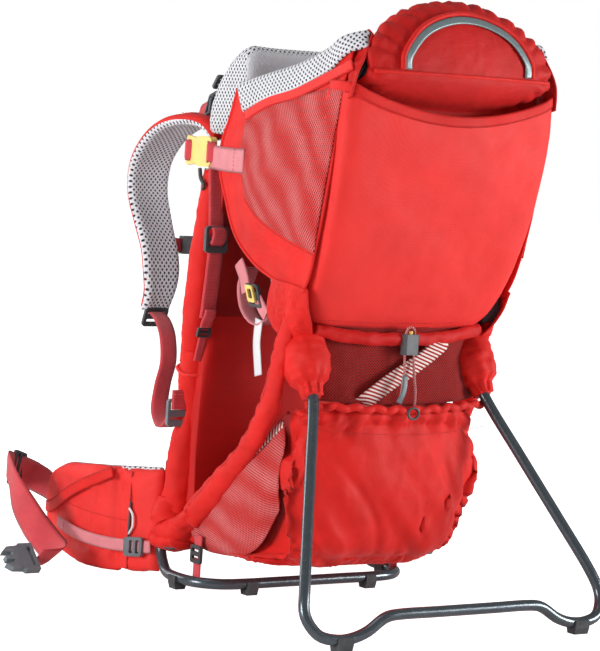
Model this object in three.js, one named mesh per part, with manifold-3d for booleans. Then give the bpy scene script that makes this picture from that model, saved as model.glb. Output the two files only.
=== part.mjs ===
// Framed child carrier backpack, standing on its own base loop and kickstand.
// Millimetres. +X is the wearer's right, +Y is the way the wearer faces, +Z is up.
// The origin is on the floor, below the middle of the carrier.
import * as THREE from "three";
import { mergeVertices } from "three/addons/utils/BufferGeometryUtils.js";
import Module from "manifold-3d";

const wasm = await Module();
wasm.setup();

// ---------- driving dimensions ----------
const GAP = 0.4; // clearance between pieces that touch
const FRAME_R = 7; // side struts, uprights and rear arch
const BASE_R = 6.5; // base loop
const KICK_R = 6.5; // kickstand loop
const FOOT_HEIGHT = 13.5; // height of a floor tube's centre line over the floor

const HINGE = { y: -128, z: 374 }; // kickstand pivot, on an axis along X
const PIN_R = 2.5;
const LEG_X = 117; // kickstand leg at the pivot
const SLEEVE_R = 10; // fabric cuff round a leg
const STRUT_X = 140; // side strut beside the bag
const UPRIGHT_X = 124;

const PANEL_HALF = 133; // back panel, half its width
const WALL_X = 143.5; // inner face of a cockpit side wall
const WALL_T = 6;
const PAD_HALF = 125; // neck pad, half its width
const SKIN = 6; // thickness of a fabric shell
const STRAP_X = 88; // middle of a shoulder strap
const STRAP_W = 64;
const STRAP_T = 13;
const BELT_W = 38;
const BELT_T = 2.4;
const WEB_T = 2.4;

// ---------- materials ----------
const paint = (color, roughness, metalness = 0) =>
  new THREE.MeshStandardMaterial({ color, roughness, metalness, side: THREE.DoubleSide });
const RED = paint(0xd3201f, 0.7);
const WEBBING = paint(0xcf4a52, 0.75);
const AIR_MESH = paint(0xd4d3dc, 0.9);
const FLEECE = paint(0x9a9aa6, 0.95);
const TUBE = paint(0x4a535c, 0.3, 0.7);
const PLASTIC = paint(0x2c3033, 0.5);
const YELLOW = paint(0xe8c65a, 0.5);
const RUBBER = paint(0x25282b, 0.85);
const STEEL = paint(0xa8adb2, 0.3, 0.9);

// ---------- geometry helpers ----------
const vec = (x, y, z) => new THREE.Vector3(x, y, z);
const spline = (points) => new THREE.CatmullRomCurve3(points.map((p) => vec(...p)), false, "centripetal");
const mirrored = (points) => points.map(([x, y, z]) => [-x, y, z]);
// A path given from its left end to the middle, run on to the right end.
const bothSides = (half) => [...mirrored(half), ...half.slice().reverse()];

function polygon(radius, sides) {
  const turn = (i) => ((i + 0.5) * 2 * Math.PI) / sides;
  const corner = (_, i) => new THREE.Vector2(radius * Math.cos(turn(i)), radius * Math.sin(turn(i)));
  return new THREE.Shape(Array.from({ length: sides }, corner));
}

function tube(points, radius, steps, sides = 10) {
  return new THREE.ExtrudeGeometry(polygon(radius, sides), { steps, extrudePath: spline(points) });
}

function cylinder(radius, from, to, sides = 16) {
  const [a, b] = [vec(...from), vec(...to)];
  return new THREE.CylinderGeometry(radius, radius, a.distanceTo(b), sides)
    .applyQuaternion(new THREE.Quaternion().setFromUnitVectors(vec(0, 1, 0), b.clone().sub(a).normalize()))
    .translate(...a.add(b).multiplyScalar(0.5).toArray());
}

function box(low, high) {
  const size = high.map((h, i) => h - low[i]);
  return new THREE.BoxGeometry(...size).translate(...high.map((h, i) => (h + low[i]) / 2));
}

function outline(points, holes = []) {
  const shape = new THREE.Shape(points.map((p) => new THREE.Vector2(...p)));
  shape.holes = holes.map((hole) => new THREE.Path(hole.map((p) => new THREE.Vector2(...p))));
  return shape;
}

// A flat plate in the Y-Z plane, from x = from to x = to.
function sidePlate(shape, from, to) {
  return new THREE.ExtrudeGeometry(shape, { depth: to - from, bevelEnabled: false })
    .applyMatrix4(new THREE.Matrix4().set(0, 0, 1, from, 1, 0, 0, 0, 0, 1, 0, 0, 0, 0, 0, 1));
}

// A rectangle with its corners cut back, centred on a point.
function chamfered(width, height, cut, [cx, cy] = [0, 0]) {
  const [w, h] = [width / 2, height / 2];
  return [
    [w - cut, -h], [w, -h + cut], [w, h - cut], [w - cut, h],
    [-w + cut, h], [-w, h - cut], [-w, -h + cut], [-w + cut, -h],
  ].map(([x, y]) => [x + cx, y + cy]);
}

// The closed solid between two grids of points of the same size.
function between(front, back) {
  const [rows, columns] = [front.length, front[0].length];
  const grid = [...front.flat(), ...back.flat()];
  const at = (side, i, j) => side * rows * columns + i * columns + j;
  const index = [];
  const quad = (a, b, c, d) => index.push(a, b, c, a, c, d);
  for (let i = 0; i < rows - 1; i++)
    for (let j = 0; j < columns - 1; j++) {
      quad(at(0, i, j), at(0, i + 1, j), at(0, i + 1, j + 1), at(0, i, j + 1));
      quad(at(1, i, j), at(1, i, j + 1), at(1, i + 1, j + 1), at(1, i + 1, j));
    }
  for (let i = 0; i < rows - 1; i++) {
    quad(at(0, i, 0), at(1, i, 0), at(1, i + 1, 0), at(0, i + 1, 0));
    quad(at(0, i + 1, columns - 1), at(1, i + 1, columns - 1), at(1, i, columns - 1), at(0, i, columns - 1));
  }
  for (let j = 0; j < columns - 1; j++) {
    quad(at(0, 0, j + 1), at(1, 0, j + 1), at(1, 0, j), at(0, 0, j));
    quad(at(0, rows - 1, j), at(1, rows - 1, j), at(1, rows - 1, j + 1), at(0, rows - 1, j + 1));
  }
  const made = new THREE.BufferGeometry();
  made.setAttribute("position", new THREE.Float32BufferAttribute(grid.flatMap((p) => p.toArray()), 3));
  made.setIndex(index);
  return outward(made);
}

// Turns a closed surface's faces outwards.
function outward(geometry) {
  const [p, index] = [geometry.getAttribute("position"), geometry.getIndex()];
  const corner = (k) => new THREE.Vector3().fromBufferAttribute(p, index.getX(k));
  let volume = 0;
  for (let k = 0; k < index.count; k += 3) volume += corner(k).dot(corner(k + 1).cross(corner(k + 2)));
  if (volume < 0) index.array.reverse();
  return geometry;
}

// A padded sheet: surface(u, v) is its middle, with u and v from 0 to 1.
function sheet(surface, rows, columns, thickness) {
  const step = 1e-3;
  const offset = (u, v, side) => {
    const along = surface(Math.min(1, u + step), v).sub(surface(Math.max(0, u - step), v));
    const across = surface(u, Math.min(1, v + step)).sub(surface(u, Math.max(0, v - step)));
    return surface(u, v).addScaledVector(along.cross(across).normalize(), (side * thickness) / 2);
  };
  const grid = (side) => Array.from({ length: rows + 1 }, (_, i) =>
    Array.from({ length: columns + 1 }, (_, j) => offset(i / rows, j / columns, side)));
  return between(grid(1), grid(-1));
}

// A strap along a path, its width lying along a fixed direction.
function strap(points, width, thickness, steps, across = [1, 0, 0]) {
  const path = spline(points);
  const side = vec(...across).normalize();
  return sheet((u, v) => path.getPoint(u).addScaledVector(side, (v - 0.5) * width), steps, 1, thickness);
}

function solid(geometry) {
  const bare = geometry.clone();
  bare.deleteAttribute("normal");
  bare.deleteAttribute("uv");
  const merged = mergeVertices(bare, 1e-3);
  return new wasm.Manifold(new wasm.Mesh({
    numProp: 3,
    vertProperties: new Float32Array(merged.getAttribute("position").array),
    triVerts: new Uint32Array(merged.getIndex().array),
  }));
}

function geometryOf(manifold) {
  const made = manifold.getMesh();
  const geometry = new THREE.BufferGeometry();
  geometry.setAttribute("position", new THREE.BufferAttribute(new Float32Array(made.vertProperties), 3));
  geometry.setIndex(new THREE.BufferAttribute(new Uint32Array(made.triVerts), 1));
  return geometry;
}

const carve = (geometry, ...cutters) =>
  geometryOf(cutters.reduce((body, cutter) => body.subtract(solid(cutter)), solid(geometry)));
const join = (...geometries) => geometryOf(geometries.map(solid).reduce((a, b) => a.add(b)));

// ---------- the scene graph ----------
const carrier = new THREE.Group();
const groups = {};
for (const name of ["frame", "kickstand", "soft_goods", "hardware", "seat", "harness", "hip_belt"]) {
  groups[name] = new THREE.Group();
  carrier.add(groups[name]);
}

function add(group, name, geometry, material) {
  const mesh = new THREE.Mesh(geometry, material);
  mesh.name = name;
  groups[group].add(mesh);
  return mesh;
}

// The same piece on both sides: made on the right, mirrored to the left.
function addPair(group, name, geometry, material) {
  add(group, name + "_right", geometry, material);
  add(group, name + "_left", geometry, material).scale.x = -1;
}

// ---------- frame ----------
const basePath = bothSides([
  [148, 92, 48], [150, 85, 32], [153, 68, 16], [155, 44, FOOT_HEIGHT],
  [150, 8, FOOT_HEIGHT], [128, -14, FOOT_HEIGHT], [95, -20, FOOT_HEIGHT], [40, -20, FOOT_HEIGHT],
]);
const uprightPath = [[UPRIGHT_X, 71, 46], [UPRIGHT_X, 71, 170], [UPRIGHT_X, 60, 300], [UPRIGHT_X, 49, 400],
  [UPRIGHT_X, 37, 505]];
const strutPath = [[144, 82, 48], [143, 58, 70], [STRUT_X, -12, 128], [STRUT_X, -82, 192], [STRUT_X, -123, 252],
  [139, -138, 312], [138, -150, 362]];
const archPath = bothSides([
  [135, -150, 386], [134.5, -158, 420], [132, -187, 530], [126, -217, 610], [112, -226, 645],
  [78, -230, 668], [30, -232, 680],
]);

function cornerBracket() {
  const body = new THREE.ExtrudeGeometry(outline(chamfered(46, 48, 7, [136, 80])), {
    depth: 12, bevelEnabled: true, bevelThickness: 2, bevelSize: 2, bevelOffset: -2, bevelSegments: 1,
  }).translate(0, 0, 45.4);
  const sockets = [
    tube(basePath, BASE_R + GAP, 54),
    tube(uprightPath, FRAME_R + GAP, 10),
    tube(strutPath, FRAME_R + GAP, 24),
  ];
  return carve(body, ...sockets);
}

function hingeBracket() {
  const plate = [[-168, 362], [-162, 347], [-142, 342], [-122, 354], [-113, 368], [-116, 384], [-130, 396],
    [-152, 400], [-165, 390]];
  const body = sidePlate(outline(plate), 127, 148);
  const pinHole = cylinder(PIN_R + GAP, [120, HINGE.y, HINGE.z], [155, HINGE.y, HINGE.z]);
  const arch = archPath.slice(-7).reverse();
  return carve(body, tube(strutPath, FRAME_R + GAP, 24), tube(arch, FRAME_R + GAP, 24), pinHole);
}

// A rubber clip under a floor tube, open above it.
const FOOT_SECTION = [[-6.5, 0], [6.5, 0], [9, 8], [8.4, 16.5], [-8.4, 16.5], [-9, 8]];
const BASE_FOOT_LENGTH = 15;
const KICK_FOOT_LENGTH = 20;

function footClip(length) {
  return new THREE.ExtrudeGeometry(outline(FOOT_SECTION), { depth: length, bevelEnabled: false })
    .translate(0, 0, -length / 2).rotateX(Math.PI / 2);
}

function baseFoot(center, along) {
  const body = footClip(BASE_FOOT_LENGTH).rotateZ(along).translate(...center);
  return carve(body, tube(basePath, BASE_R + GAP, 54));
}

// A pin along X with a rivet head at each end.
function hingePin() {
  const profile = [[0, 107.5], [4.5, 107.5], [4.5, 109.6], [PIN_R, 109.6], [PIN_R, 148.6], [5, 148.6], [5, 150.4],
    [0, 150.4]];
  return new THREE.LatheGeometry(profile.map((p) => new THREE.Vector2(...p)), 16)
    .rotateZ(-Math.PI / 2).translate(0, HINGE.y, HINGE.z);
}

add("frame", "base_loop", tube(basePath, BASE_R, 54), TUBE);
addPair("frame", "upright", tube(uprightPath, FRAME_R, 8), TUBE);
addPair("frame", "side_strut", tube(strutPath, FRAME_R, 20), TUBE);
add("frame", "rear_arch", tube(archPath, FRAME_R, 40), TUBE);
addPair("frame", "corner_bracket", cornerBracket(), PLASTIC);
addPair("frame", "hinge_bracket", hingeBracket(), PLASTIC);
addPair("frame", "hinge_pin", hingePin(), STEEL);
addPair("frame", "base_foot_front", baseFoot([154.5, 38, 0], 0), RUBBER);
addPair("frame", "base_foot_rear", baseFoot([88, -20, 0], Math.PI / 2), RUBBER);

// ---------- kickstand ----------
const kickPath = bothSides([
  [LEG_X, -124, 386], [LEG_X, -133, 350], [120, -160, 292], [126, -182, 256], [152, -222, 193],
  [182, -267, 122], [205, -302, 66], [211, -314, 40], [200, -324, 20], [180, -328, FOOT_HEIGHT],
  [158, -328, FOOT_HEIGHT], [136, -328, 20], [112, -327, 34], [92, -327, 37], [40, -327, 37],
]);

function kickstandLoop() {
  const hole = (side) => cylinder(PIN_R + GAP, [side * 100, HINGE.y, HINGE.z], [side * 126, HINGE.y, HINGE.z]);
  return carve(tube(kickPath, KICK_R, 72), hole(1), hole(-1));
}

function kickstandFoot() {
  const body = footClip(KICK_FOOT_LENGTH).rotateZ(Math.PI / 2).translate(169, -328, 0);
  return carve(body, tube(kickPath, KICK_R + GAP, 72));
}

// The fabric cuff round the top of a leg.
function kickstandSleeve() {
  const leg = spline([[LEG_X, -133, 350], [120, -160, 292], [126, -182, 256], [152, -222, 193]]);
  const shares = [0.16, 0.28, 0.40, 0.52];
  const middle = shares.map((share) => leg.getPoint(share).toArray());
  return carve(tube(middle, SLEEVE_R, 6, 12), tube(kickPath, KICK_R + GAP, 72));
}

add("kickstand", "kickstand_loop", kickstandLoop(), TUBE);
addPair("kickstand", "kickstand_foot", kickstandFoot(), RUBBER);
addPair("kickstand", "kickstand_sleeve", kickstandSleeve(), RED);

// ---------- soft goods ----------
function backPanel() {
  const profile = [[50, 60], [92, 60], [97, 110], [95, 175], [82, 300], [67, 400], [56, 500], [52, 526],
    [16, 526], [20, 500], [33, 400], [41, 300], [49, 170]];
  return carve(sidePlate(outline(profile), -PANEL_HALF, PANEL_HALF), tube(uprightPath, FRAME_R + GAP, 8),
    tube(mirrored(uprightPath), FRAME_R + GAP, 8));
}

function neckPad() {
  const profile = [[2, 440], [12, 440], [12, 531], [48, 556], [84, 560], [89, 580], [77, 612], [51, 642],
    [20, 661], [6, 661], [2, 650]];
  return sidePlate(outline(profile), -PAD_HALF, PAD_HALF);
}

// Crowned pad in front of the back panel, for the small of the back.
function lumbarPad() {
  const surface = (u, v) => {
    const crown = Math.sin(Math.PI * u) * Math.sin(Math.PI * v);
    const side = Math.abs(2 * u - 1);
    return vec(136 * (2 * u - 1), 107 + 8 * crown, 68 + (122 - 50 * side ** 3) * v);
  };
  return sheet(surface, 8, 4, 14);
}

function cockpitSide() {
  const wall = [[-17, 605], [-8, 533], [-11, 474], [-38, 429], [-88, 402], [-178, 402], [-196, 450],
    [-219, 540], [-234, 610], [-236, 655], [-130, 640]];
  return sidePlate(outline(wall), WALL_X, WALL_X + WALL_T);
}

// Rear wall with its drop-in pocket; its outer face leans back as it rises.
function rearPanel() {
  const surface = (u, v) => {
    const half = 121 + 22 * v;
    const sag = 14 * (1 - (2 * u - 1) ** 2) * v;
    const bulge = 6 * Math.sin(Math.PI * u) * Math.sin(Math.PI * v);
    return vec(half * (2 * u - 1), -176 - 66 * v - bulge, 346 + 268 * v - sag);
  };
  return sheet(surface, 12, 7, SKIN);
}

// Hood behind the child's head: a half dome, open to the front.
function headCrown() {
  const surface = (u, v) => {
    const x = 2 * u - 1;
    const round = Math.max(0.28, Math.sqrt(1 - x * x));
    const angle = v * 1.9;
    return vec(130 * x, -189 - 82 * Math.cos(angle) * (0.4 + 0.6 * round), 630 + 88 * Math.sin(angle) * round);
  };
  return sheet(surface, 16, 9, SKIN);
}

// Curved seat between the child's legs.
function seatPan() {
  const surface = (u, v) => {
    const half = 78 + 14 * Math.cos(2 * Math.PI * v);
    return vec(half * (2 * u - 1), -160 + 130 * v, 412 - 16 * Math.sin(Math.PI * v) + 6 * (2 * u - 1) ** 2);
  };
  return sheet(surface, 6, 6, 9);
}

// Wedge-shaped luggage compartment under the seat, rounded at its sides.
function lowerBag() {
  const profile = [[-194, 246], [-192, 190], [-187, 120], [-172, 72], [-140, 54], [-60, 48], [52, 47],
    [40, 62], [-20, 108], [-92, 170], [-132, 222], [-160, 250]];
  const [midY, midZ, shoulder] = [-120, 120, 190];
  const ring = ([x, scale, topWidth]) => profile.map(([y, z]) =>
    vec(x * (z > shoulder ? topWidth : 1), midY + (y - midY) * scale, midZ + (z - midZ) * scale));
  // Each station: its x, its scale, and how much narrower the bag is above its shoulder.
  const stations = [[-134, 0.86, 0.82], [-128, 0.95, 0.84], [-90, 1, 0.9], [0, 1, 1], [90, 1, 0.9],
    [128, 0.95, 0.84], [134, 0.86, 0.82]];
  return loft(stations.map(ring));
}

// The closed solid through a row of rings, with flat ends.
function loft(rings) {
  const count = rings[0].length;
  const index = [];
  for (let i = 0; i < rings.length - 1; i++)
    for (let j = 0; j < count; j++) {
      const next = (j + 1) % count;
      const [a, b, c, d] = [i * count + j, i * count + next, (i + 1) * count + next, (i + 1) * count + j];
      index.push(a, b, c, a, c, d);
    }
  const last = (rings.length - 1) * count;
  const flat = rings.map((ring) => ring.map((p) => new THREE.Vector2(p.y, p.z)));
  for (const [a, b, c] of THREE.ShapeUtils.triangulateShape(flat[0], [])) index.push(a, c, b);
  for (const [a, b, c] of THREE.ShapeUtils.triangulateShape(flat.at(-1), [])) index.push(last + a, last + b, last + c);
  const made = new THREE.BufferGeometry();
  made.setAttribute("position", new THREE.Float32BufferAttribute(rings.flat().flatMap((p) => p.toArray()), 3));
  made.setIndex(index);
  return outward(made);
}

add("soft_goods", "back_panel", backPanel(), RED);
add("soft_goods", "neck_pad", neckPad(), AIR_MESH);
add("soft_goods", "lumbar_pad", lumbarPad(), AIR_MESH);
addPair("soft_goods", "cockpit_side", cockpitSide(), RED);
add("soft_goods", "rear_panel", rearPanel(), RED);
add("soft_goods", "head_crown", headCrown(), RED);
add("soft_goods", "lower_bag", lowerBag(), RED);
add("seat", "seat_pan", seatPan(), FLEECE);

// ---------- hardware ----------
// A ladder lock: a frame with two webbing slots, lying in the X-Z plane.
function ladderLock(width, height, center) {
  const slot = (low, high) => [[-width / 2 + 4, low], [width / 2 - 4, low], [width / 2 - 4, high], [-width / 2 + 4, high]];
  const face = outline(chamfered(width, height, 3), [
    slot(-height / 2 + 8, -height / 2 + 12), slot(height / 2 - 14, height / 2 - 4),
  ]);
  return new THREE.ExtrudeGeometry(face, { depth: 5, bevelEnabled: false })
    .translate(0, 0, -2.5).rotateX(Math.PI / 2).translate(...center);
}

// Side-entry buckle, in two halves that part along Y.
const BUCKLE = { x: 150, thick: 9, z: 529, high: 36, low: 24, mouth: 57, end: 82 };

function buckleSocket() {
  const { x, thick, z, high, low, mouth } = BUCKLE;
  const face = chamfered(mouth - low, high, 4, [(mouth + low) / 2, z]);
  const slot = [[low + 4, z - 13], [low + 8, z - 13], [low + 8, z + 13], [low + 4, z + 13]];
  const body = sidePlate(outline(face, [slot]), x - thick / 2, x + thick / 2);
  return carve(body, box([x - 2.8, mouth - 20, z - 13], [x + 2.8, mouth + 5, z + 13]));
}

function bucklePlug() {
  const { x, z, high, mouth, end } = BUCKLE;
  const root = mouth + GAP;
  const face = [[root, z - high / 2 + 3], [end - 3, z - high / 2], [end, z - high / 2 + 3], [end, z + high / 2 - 3],
    [end - 3, z + high / 2], [root, z + high / 2 - 3], [root, z + 12], [mouth - 16, z + 12], [mouth - 18, z + 8],
    [mouth - 8, z + 7], [mouth - 8, z + 3], [mouth - 17, z + 2.5], [mouth - 17, z - 2.5], [mouth - 8, z - 3],
    [mouth - 8, z - 7], [mouth - 18, z - 8], [mouth - 16, z - 12], [root, z - 12]];
  const slot = [[end - 9, z - 13], [end - 5, z - 13], [end - 5, z + 13], [end - 9, z + 13]];
  return sidePlate(outline(face, [slot]), x - 2.2, x + 2.2);
}

// Foot stirrup: a webbing loop hanging beside the seat.
const stirrupPath = [[-24, 396], [-15, 372], [-25, 345], [-52, 331], [-79, 343], [-90, 368], [-84, 392]]
  .map(([y, z]) => [118, y, z]);

// Cord lock below the rear panel, with its spring-loaded button on top.
const LOCK = { y: -190, low: 311, high: 335, half: 11 };
const CORD_X = 6.5;
const CORD_R = 1.5;
const cordPath = [[CORD_X, -199, 252], [CORD_X, -198, 270], [CORD_X, -193, 292], [CORD_X, LOCK.y, 312],
  [CORD_X, LOCK.y, 334], [4.6, LOCK.y, 341], [0, LOCK.y, 343.4], [-4.6, LOCK.y, 341], [-CORD_X, LOCK.y, 334],
  [-CORD_X, LOCK.y, 312], [-8, -194, 292], [-13, -198, 274], [-15, -199, 262]];

function cordLock() {
  const { y, low, high, half } = LOCK;
  const body = new THREE.ExtrudeGeometry(outline(chamfered(2 * half, 11, 3, [0, y])), {
    depth: high - low, bevelEnabled: false }).translate(0, 0, low);
  return carve(body, tube(cordPath, CORD_R + GAP, 40, 8), cylinder(3.1, [0, y, high - 12], [0, y, high + 5], 12));
}

add("hardware", "cord_lock", cordLock(), PLASTIC);
add("hardware", "cord_lock_button", cylinder(2.7, [0, LOCK.y, 327], [0, LOCK.y, 338.5], 12), YELLOW);
add("hardware", "drawcord", tube(cordPath, CORD_R, 40, 8), PLASTIC);
addPair("hardware", "side_buckle", buckleSocket(), YELLOW);
addPair("hardware", "side_plug", bucklePlug(), YELLOW);
addPair("hardware", "stirrup", strap(stirrupPath, 24, WEB_T, 20), WEBBING);
addPair("hardware", "back_length_lock", ladderLock(31, 32, [140, 22, 425]), PLASTIC);
addPair("hardware", "strap_lock", ladderLock(30, 34, [148, 72, 210]), PLASTIC);

// ---------- child's harness ----------
const BUCKLE_Z = 470;

function childHarness() {
  const shoulder = [[34, -212, 560], [36, -190, 568], [38, -160, 552], [30, -125, 510], [8, -103, BUCKLE_Z + 4]];
  const crotch = [[0, -102, BUCKLE_Z + 12], [0, -99, 448], [0, -92, 424], [0, -86, 408]];
  return join(strap(shoulder, 26, WEB_T, 12), strap(mirrored(shoulder), 26, WEB_T, 12),
    strap(crotch, 30, WEB_T, 6));
}

const buckleDisc = cylinder(20, [0, -96, BUCKLE_Z], [0, -85, BUCKLE_Z], 20);
const buttonWell = cylinder(9.5, [0, -92, BUCKLE_Z], [0, -80, BUCKLE_Z], 20);
add("seat", "child_harness", childHarness(), WEBBING);
add("seat", "harness_buckle", carve(buckleDisc, buttonWell), PLASTIC);
add("seat", "harness_button", cylinder(9, [0, -88.5, BUCKLE_Z], [0, -83.5, BUCKLE_Z], 20), YELLOW);

// ---------- shoulder harness ----------
function yoke() {
  const surface = (u, v) => vec(104 * (2 * u - 1), 76 - 8 * v, 466 + 66 * v);
  return sheet(surface, 4, 3, 11);
}

const strapPath = [[STRAP_X, 84, 543], [90, 108, 560], [91, 150, 564], [91, 195, 557], [90, 235, 538],
  [90, 264, 506], [90, 268, 470], [90, 250, 432], [90, 228, 392], [90, 222, 352], [90, 233, 320]];

function sternumSocket() {
  const body = box([30, 233, 392], [54, 243, 415]);
  return carve(body, box([25, 235.2, 395], [46, 240.8, 412]));
}

function sternumPlug() {
  const face = [[54, 392], [54, 415], [44, 415], [42, 411], [28, 411], [25, 407], [36, 406], [36, 405],
    [26, 405], [26, 402], [36, 402], [36, 401], [25, 400], [28, 396], [42, 396], [44, 392]];
  return new THREE.ExtrudeGeometry(outline(face), { depth: 5, bevelEnabled: false })
    .rotateX(Math.PI / 2).translate(0, 240.5, 0);
}

add("harness", "shoulder_yoke", yoke(), AIR_MESH);
addPair("harness", "shoulder_strap", strap(strapPath, STRAP_W, STRAP_T, 26), AIR_MESH);
add("harness", "sternum_socket_left", sternumSocket(), PLASTIC).scale.x = -1;
add("harness", "sternum_plug_right", sternumPlug(), PLASTIC);

// ---------- hip belt ----------
const finPath = spline([[151, 115, 70], [160, 132, 70], [174, 165, 69], [183, 205, 68], [182, 255, 66],
  [175, 302, 65], [161, 336, 66]]);

function hipFin() {
  const surface = (u, v) => {
    const tip = Math.sqrt(Math.max(0, 1 - Math.max(0, (u - 0.72) / 0.3) ** 2));
    const low = 66 - (66 - 6) * tip * (0.78 + 0.22 * Math.sin(Math.PI * Math.min(1, u * 1.2)));
    const high = 66 + (70 - 24 * u) * tip;
    const p = finPath.getPoint(u);
    return vec(p.x, p.y, low + (high - low) * v);
  };
  return sheet(surface, 12, 4, 15);
}

// Free belt webbing: out of the fin's tip, over in one turn and down to the floor.
const beltPath = [[157, 348, 72], [160, 366, 78], [176, 382, 88], [202, 376, 98], [228, 346, 106],
  [246, 306, 104], [254, 270, 84], [248, 236, 52], [240, 208, 30], [243, 182, 22], [256, 168, 20], [268, 166, 20],
  [278, 166, 20]];

// The belt's buckle halves rest on one edge.
const BUCKLE_TILT = 0.73;
const BUCKLE_MIDDLE = [166, 20];

function tiltBuckle(body, thickness) {
  const [y, z] = BUCKLE_MIDDLE;
  return body.translate(0, -y, -thickness / 2).rotateX(BUCKLE_TILT).translate(0, y, z);
}

function beltWebbing() {
  const path = spline(beltPath);
  const steps = 26;
  // The width stands up at the fin and leans over to the buckle's tilt at the floor.
  const lean = (u) => (Math.PI / 2 - BUCKLE_TILT) * THREE.MathUtils.smoothstep(u, 0.45, 0.97);
  const surface = (u, v) => {
    const along = path.getTangent(u);
    const level = vec(-along.y, along.x, 0).normalize();
    const up = level.clone().cross(along).normalize();
    if (up.z < 0) up.negate();
    const side = up.multiplyScalar(Math.cos(lean(u))).addScaledVector(level, Math.sin(lean(u)));
    return path.getPoint(u).addScaledVector(side, (v - 0.5) * BELT_W);
  };
  return sheet(surface, steps, 1, BELT_T);
}

function beltPlug() {
  const face = [[281, 146], [300, 146], [303, 149], [317, 150], [325, 157], [313, 158], [311, 162.5], [322, 163],
    [322.5, 169], [310.5, 169.5], [312, 174], [325, 175], [317, 182], [303, 183], [300, 186], [281, 186]];
  const slot = [[285, 152], [290, 152], [290, 180], [285, 180]];
  return tiltBuckle(new THREE.ExtrudeGeometry(outline(face, [slot]), { depth: 9, bevelEnabled: false }), 9);
}

function beltSocket() {
  const body = new THREE.ExtrudeGeometry(outline(chamfered(44, 44, 5, [304, 166]),
    [[[286, 151], [286, 181], [290, 181], [290, 151]]]), { depth: 13, bevelEnabled: false });
  return tiltBuckle(carve(body, box([300, 148, 3], [330, 184, 10])), 13);
}

const zipPull = () => sheet((u, v) => vec(174 + 4.5 * u, 135 + 15 * u, 88 + 8 * (v - 0.5)), 1, 1, 2);

addPair("hip_belt", "hip_fin", hipFin(), RED);
addPair("hip_belt", "belt_webbing", beltWebbing(), WEBBING);
add("hip_belt", "belt_plug_left", beltPlug(), PLASTIC).scale.x = -1;
add("hip_belt", "belt_socket_right", beltSocket(), PLASTIC);
addPair("hip_belt", "zip_pull", zipPull(), AIR_MESH);

export default carrier;
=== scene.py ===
# A framed child carrier backpack: fabric, mesh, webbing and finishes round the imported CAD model.
# Points are written in millimetres in the part's frame and turned into metres by mm().
# +X is the wearer's right, +Y the way the wearer faces, +Z up.
import math

import bpy
from mathutils import Matrix, Quaternion, Vector, noise


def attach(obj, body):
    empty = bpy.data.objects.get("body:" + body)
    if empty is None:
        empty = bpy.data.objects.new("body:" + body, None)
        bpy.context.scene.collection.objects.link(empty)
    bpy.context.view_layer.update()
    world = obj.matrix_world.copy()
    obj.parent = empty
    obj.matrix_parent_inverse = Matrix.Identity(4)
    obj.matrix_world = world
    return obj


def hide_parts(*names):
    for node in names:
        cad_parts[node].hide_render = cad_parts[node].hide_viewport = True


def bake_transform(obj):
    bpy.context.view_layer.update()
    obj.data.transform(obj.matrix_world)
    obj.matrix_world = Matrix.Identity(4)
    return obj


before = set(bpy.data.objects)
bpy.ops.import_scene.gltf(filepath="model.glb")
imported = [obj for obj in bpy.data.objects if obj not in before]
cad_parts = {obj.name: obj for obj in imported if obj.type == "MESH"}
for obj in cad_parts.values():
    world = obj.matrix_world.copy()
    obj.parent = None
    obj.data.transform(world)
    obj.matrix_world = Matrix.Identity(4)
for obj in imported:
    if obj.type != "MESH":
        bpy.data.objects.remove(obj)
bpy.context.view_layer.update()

MM = 0.001
WHITE_LIGHT = (1, 1, 1, 1)
LEFT, RIGHT = -1, 1
SIDES = {LEFT: "left", RIGHT: "right"}
UP = Vector((0, 0, 1))
ACROSS = Vector((1, 0, 0))

FRAME_R = 7 * MM  # side struts, uprights and rear arch
BASE_R = 6.5 * MM
KICK_R = 6.5 * MM
CORD_D = 3 * MM
BELT_W = 38 * MM
BELT_T = 2.4 * MM
WEB_T = 2.2 * MM
BUCKLE_TILT = 0.73  # radians, how far the lying belt buckle leans from level
GLIDE_SHARE = 0.19  # where the tri-glide sits along the free belt
WALL_X = 147  # mm, middle of a cockpit side wall


# ---------- camera, floor and light ----------
CAMERA_PLACE = Vector((-1.8418, -2.6245, 0.5920))
CAMERA_AIM = Vector((-0.0269, -0.0024, 0.3251))
CAMERA_ROLL = 3.75  # degrees
LENS = 145.6  # mm on a 36 mm sensor
FLOOR_HALF = 9  # m
WORLD_DIM = 0.24  # what lights the carrier; the camera itself sees plain white

# Name, place, aim, size in m and power in W.
LIGHTS = [("key", (2.1, -1.9, 0.6), (0, -0.1, 0.3), 0.9, 64), ("side", (-2.7, -0.3, 0.7), (0, -0.05, 0.3), 0.9, 50),
          ("top", (-0.5, 0.2, 2.8), (0, 0, 0.3), 1.2, 10), ("back", (-1.4, 2.4, 1.0), (0, 0.1, 0.4), 1.2, 18)]


def aimed(made, place, aim):
    """Links a camera or a light and turns it towards a point."""
    bpy.context.scene.collection.objects.link(made)
    made.location = place
    made.rotation_mode = "QUATERNION"
    made.rotation_quaternion = (Vector(aim) - Vector(place)).to_track_quat("-Z", "Y")
    return made


def add_camera():
    data = bpy.data.cameras.new("camera")
    data.sensor_width = 36
    data.lens = LENS
    made = aimed(bpy.data.objects.new("camera", data), CAMERA_PLACE, CAMERA_AIM)
    made.rotation_quaternion = made.rotation_quaternion @ Quaternion(UP, math.radians(CAMERA_ROLL))
    bpy.context.scene.camera = made


def area_light(name, place, aim, size, power):
    data = bpy.data.lights.new(name, "AREA")
    data.size = size
    data.energy = power
    aimed(bpy.data.objects.new(name, data), place, aim)


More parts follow.
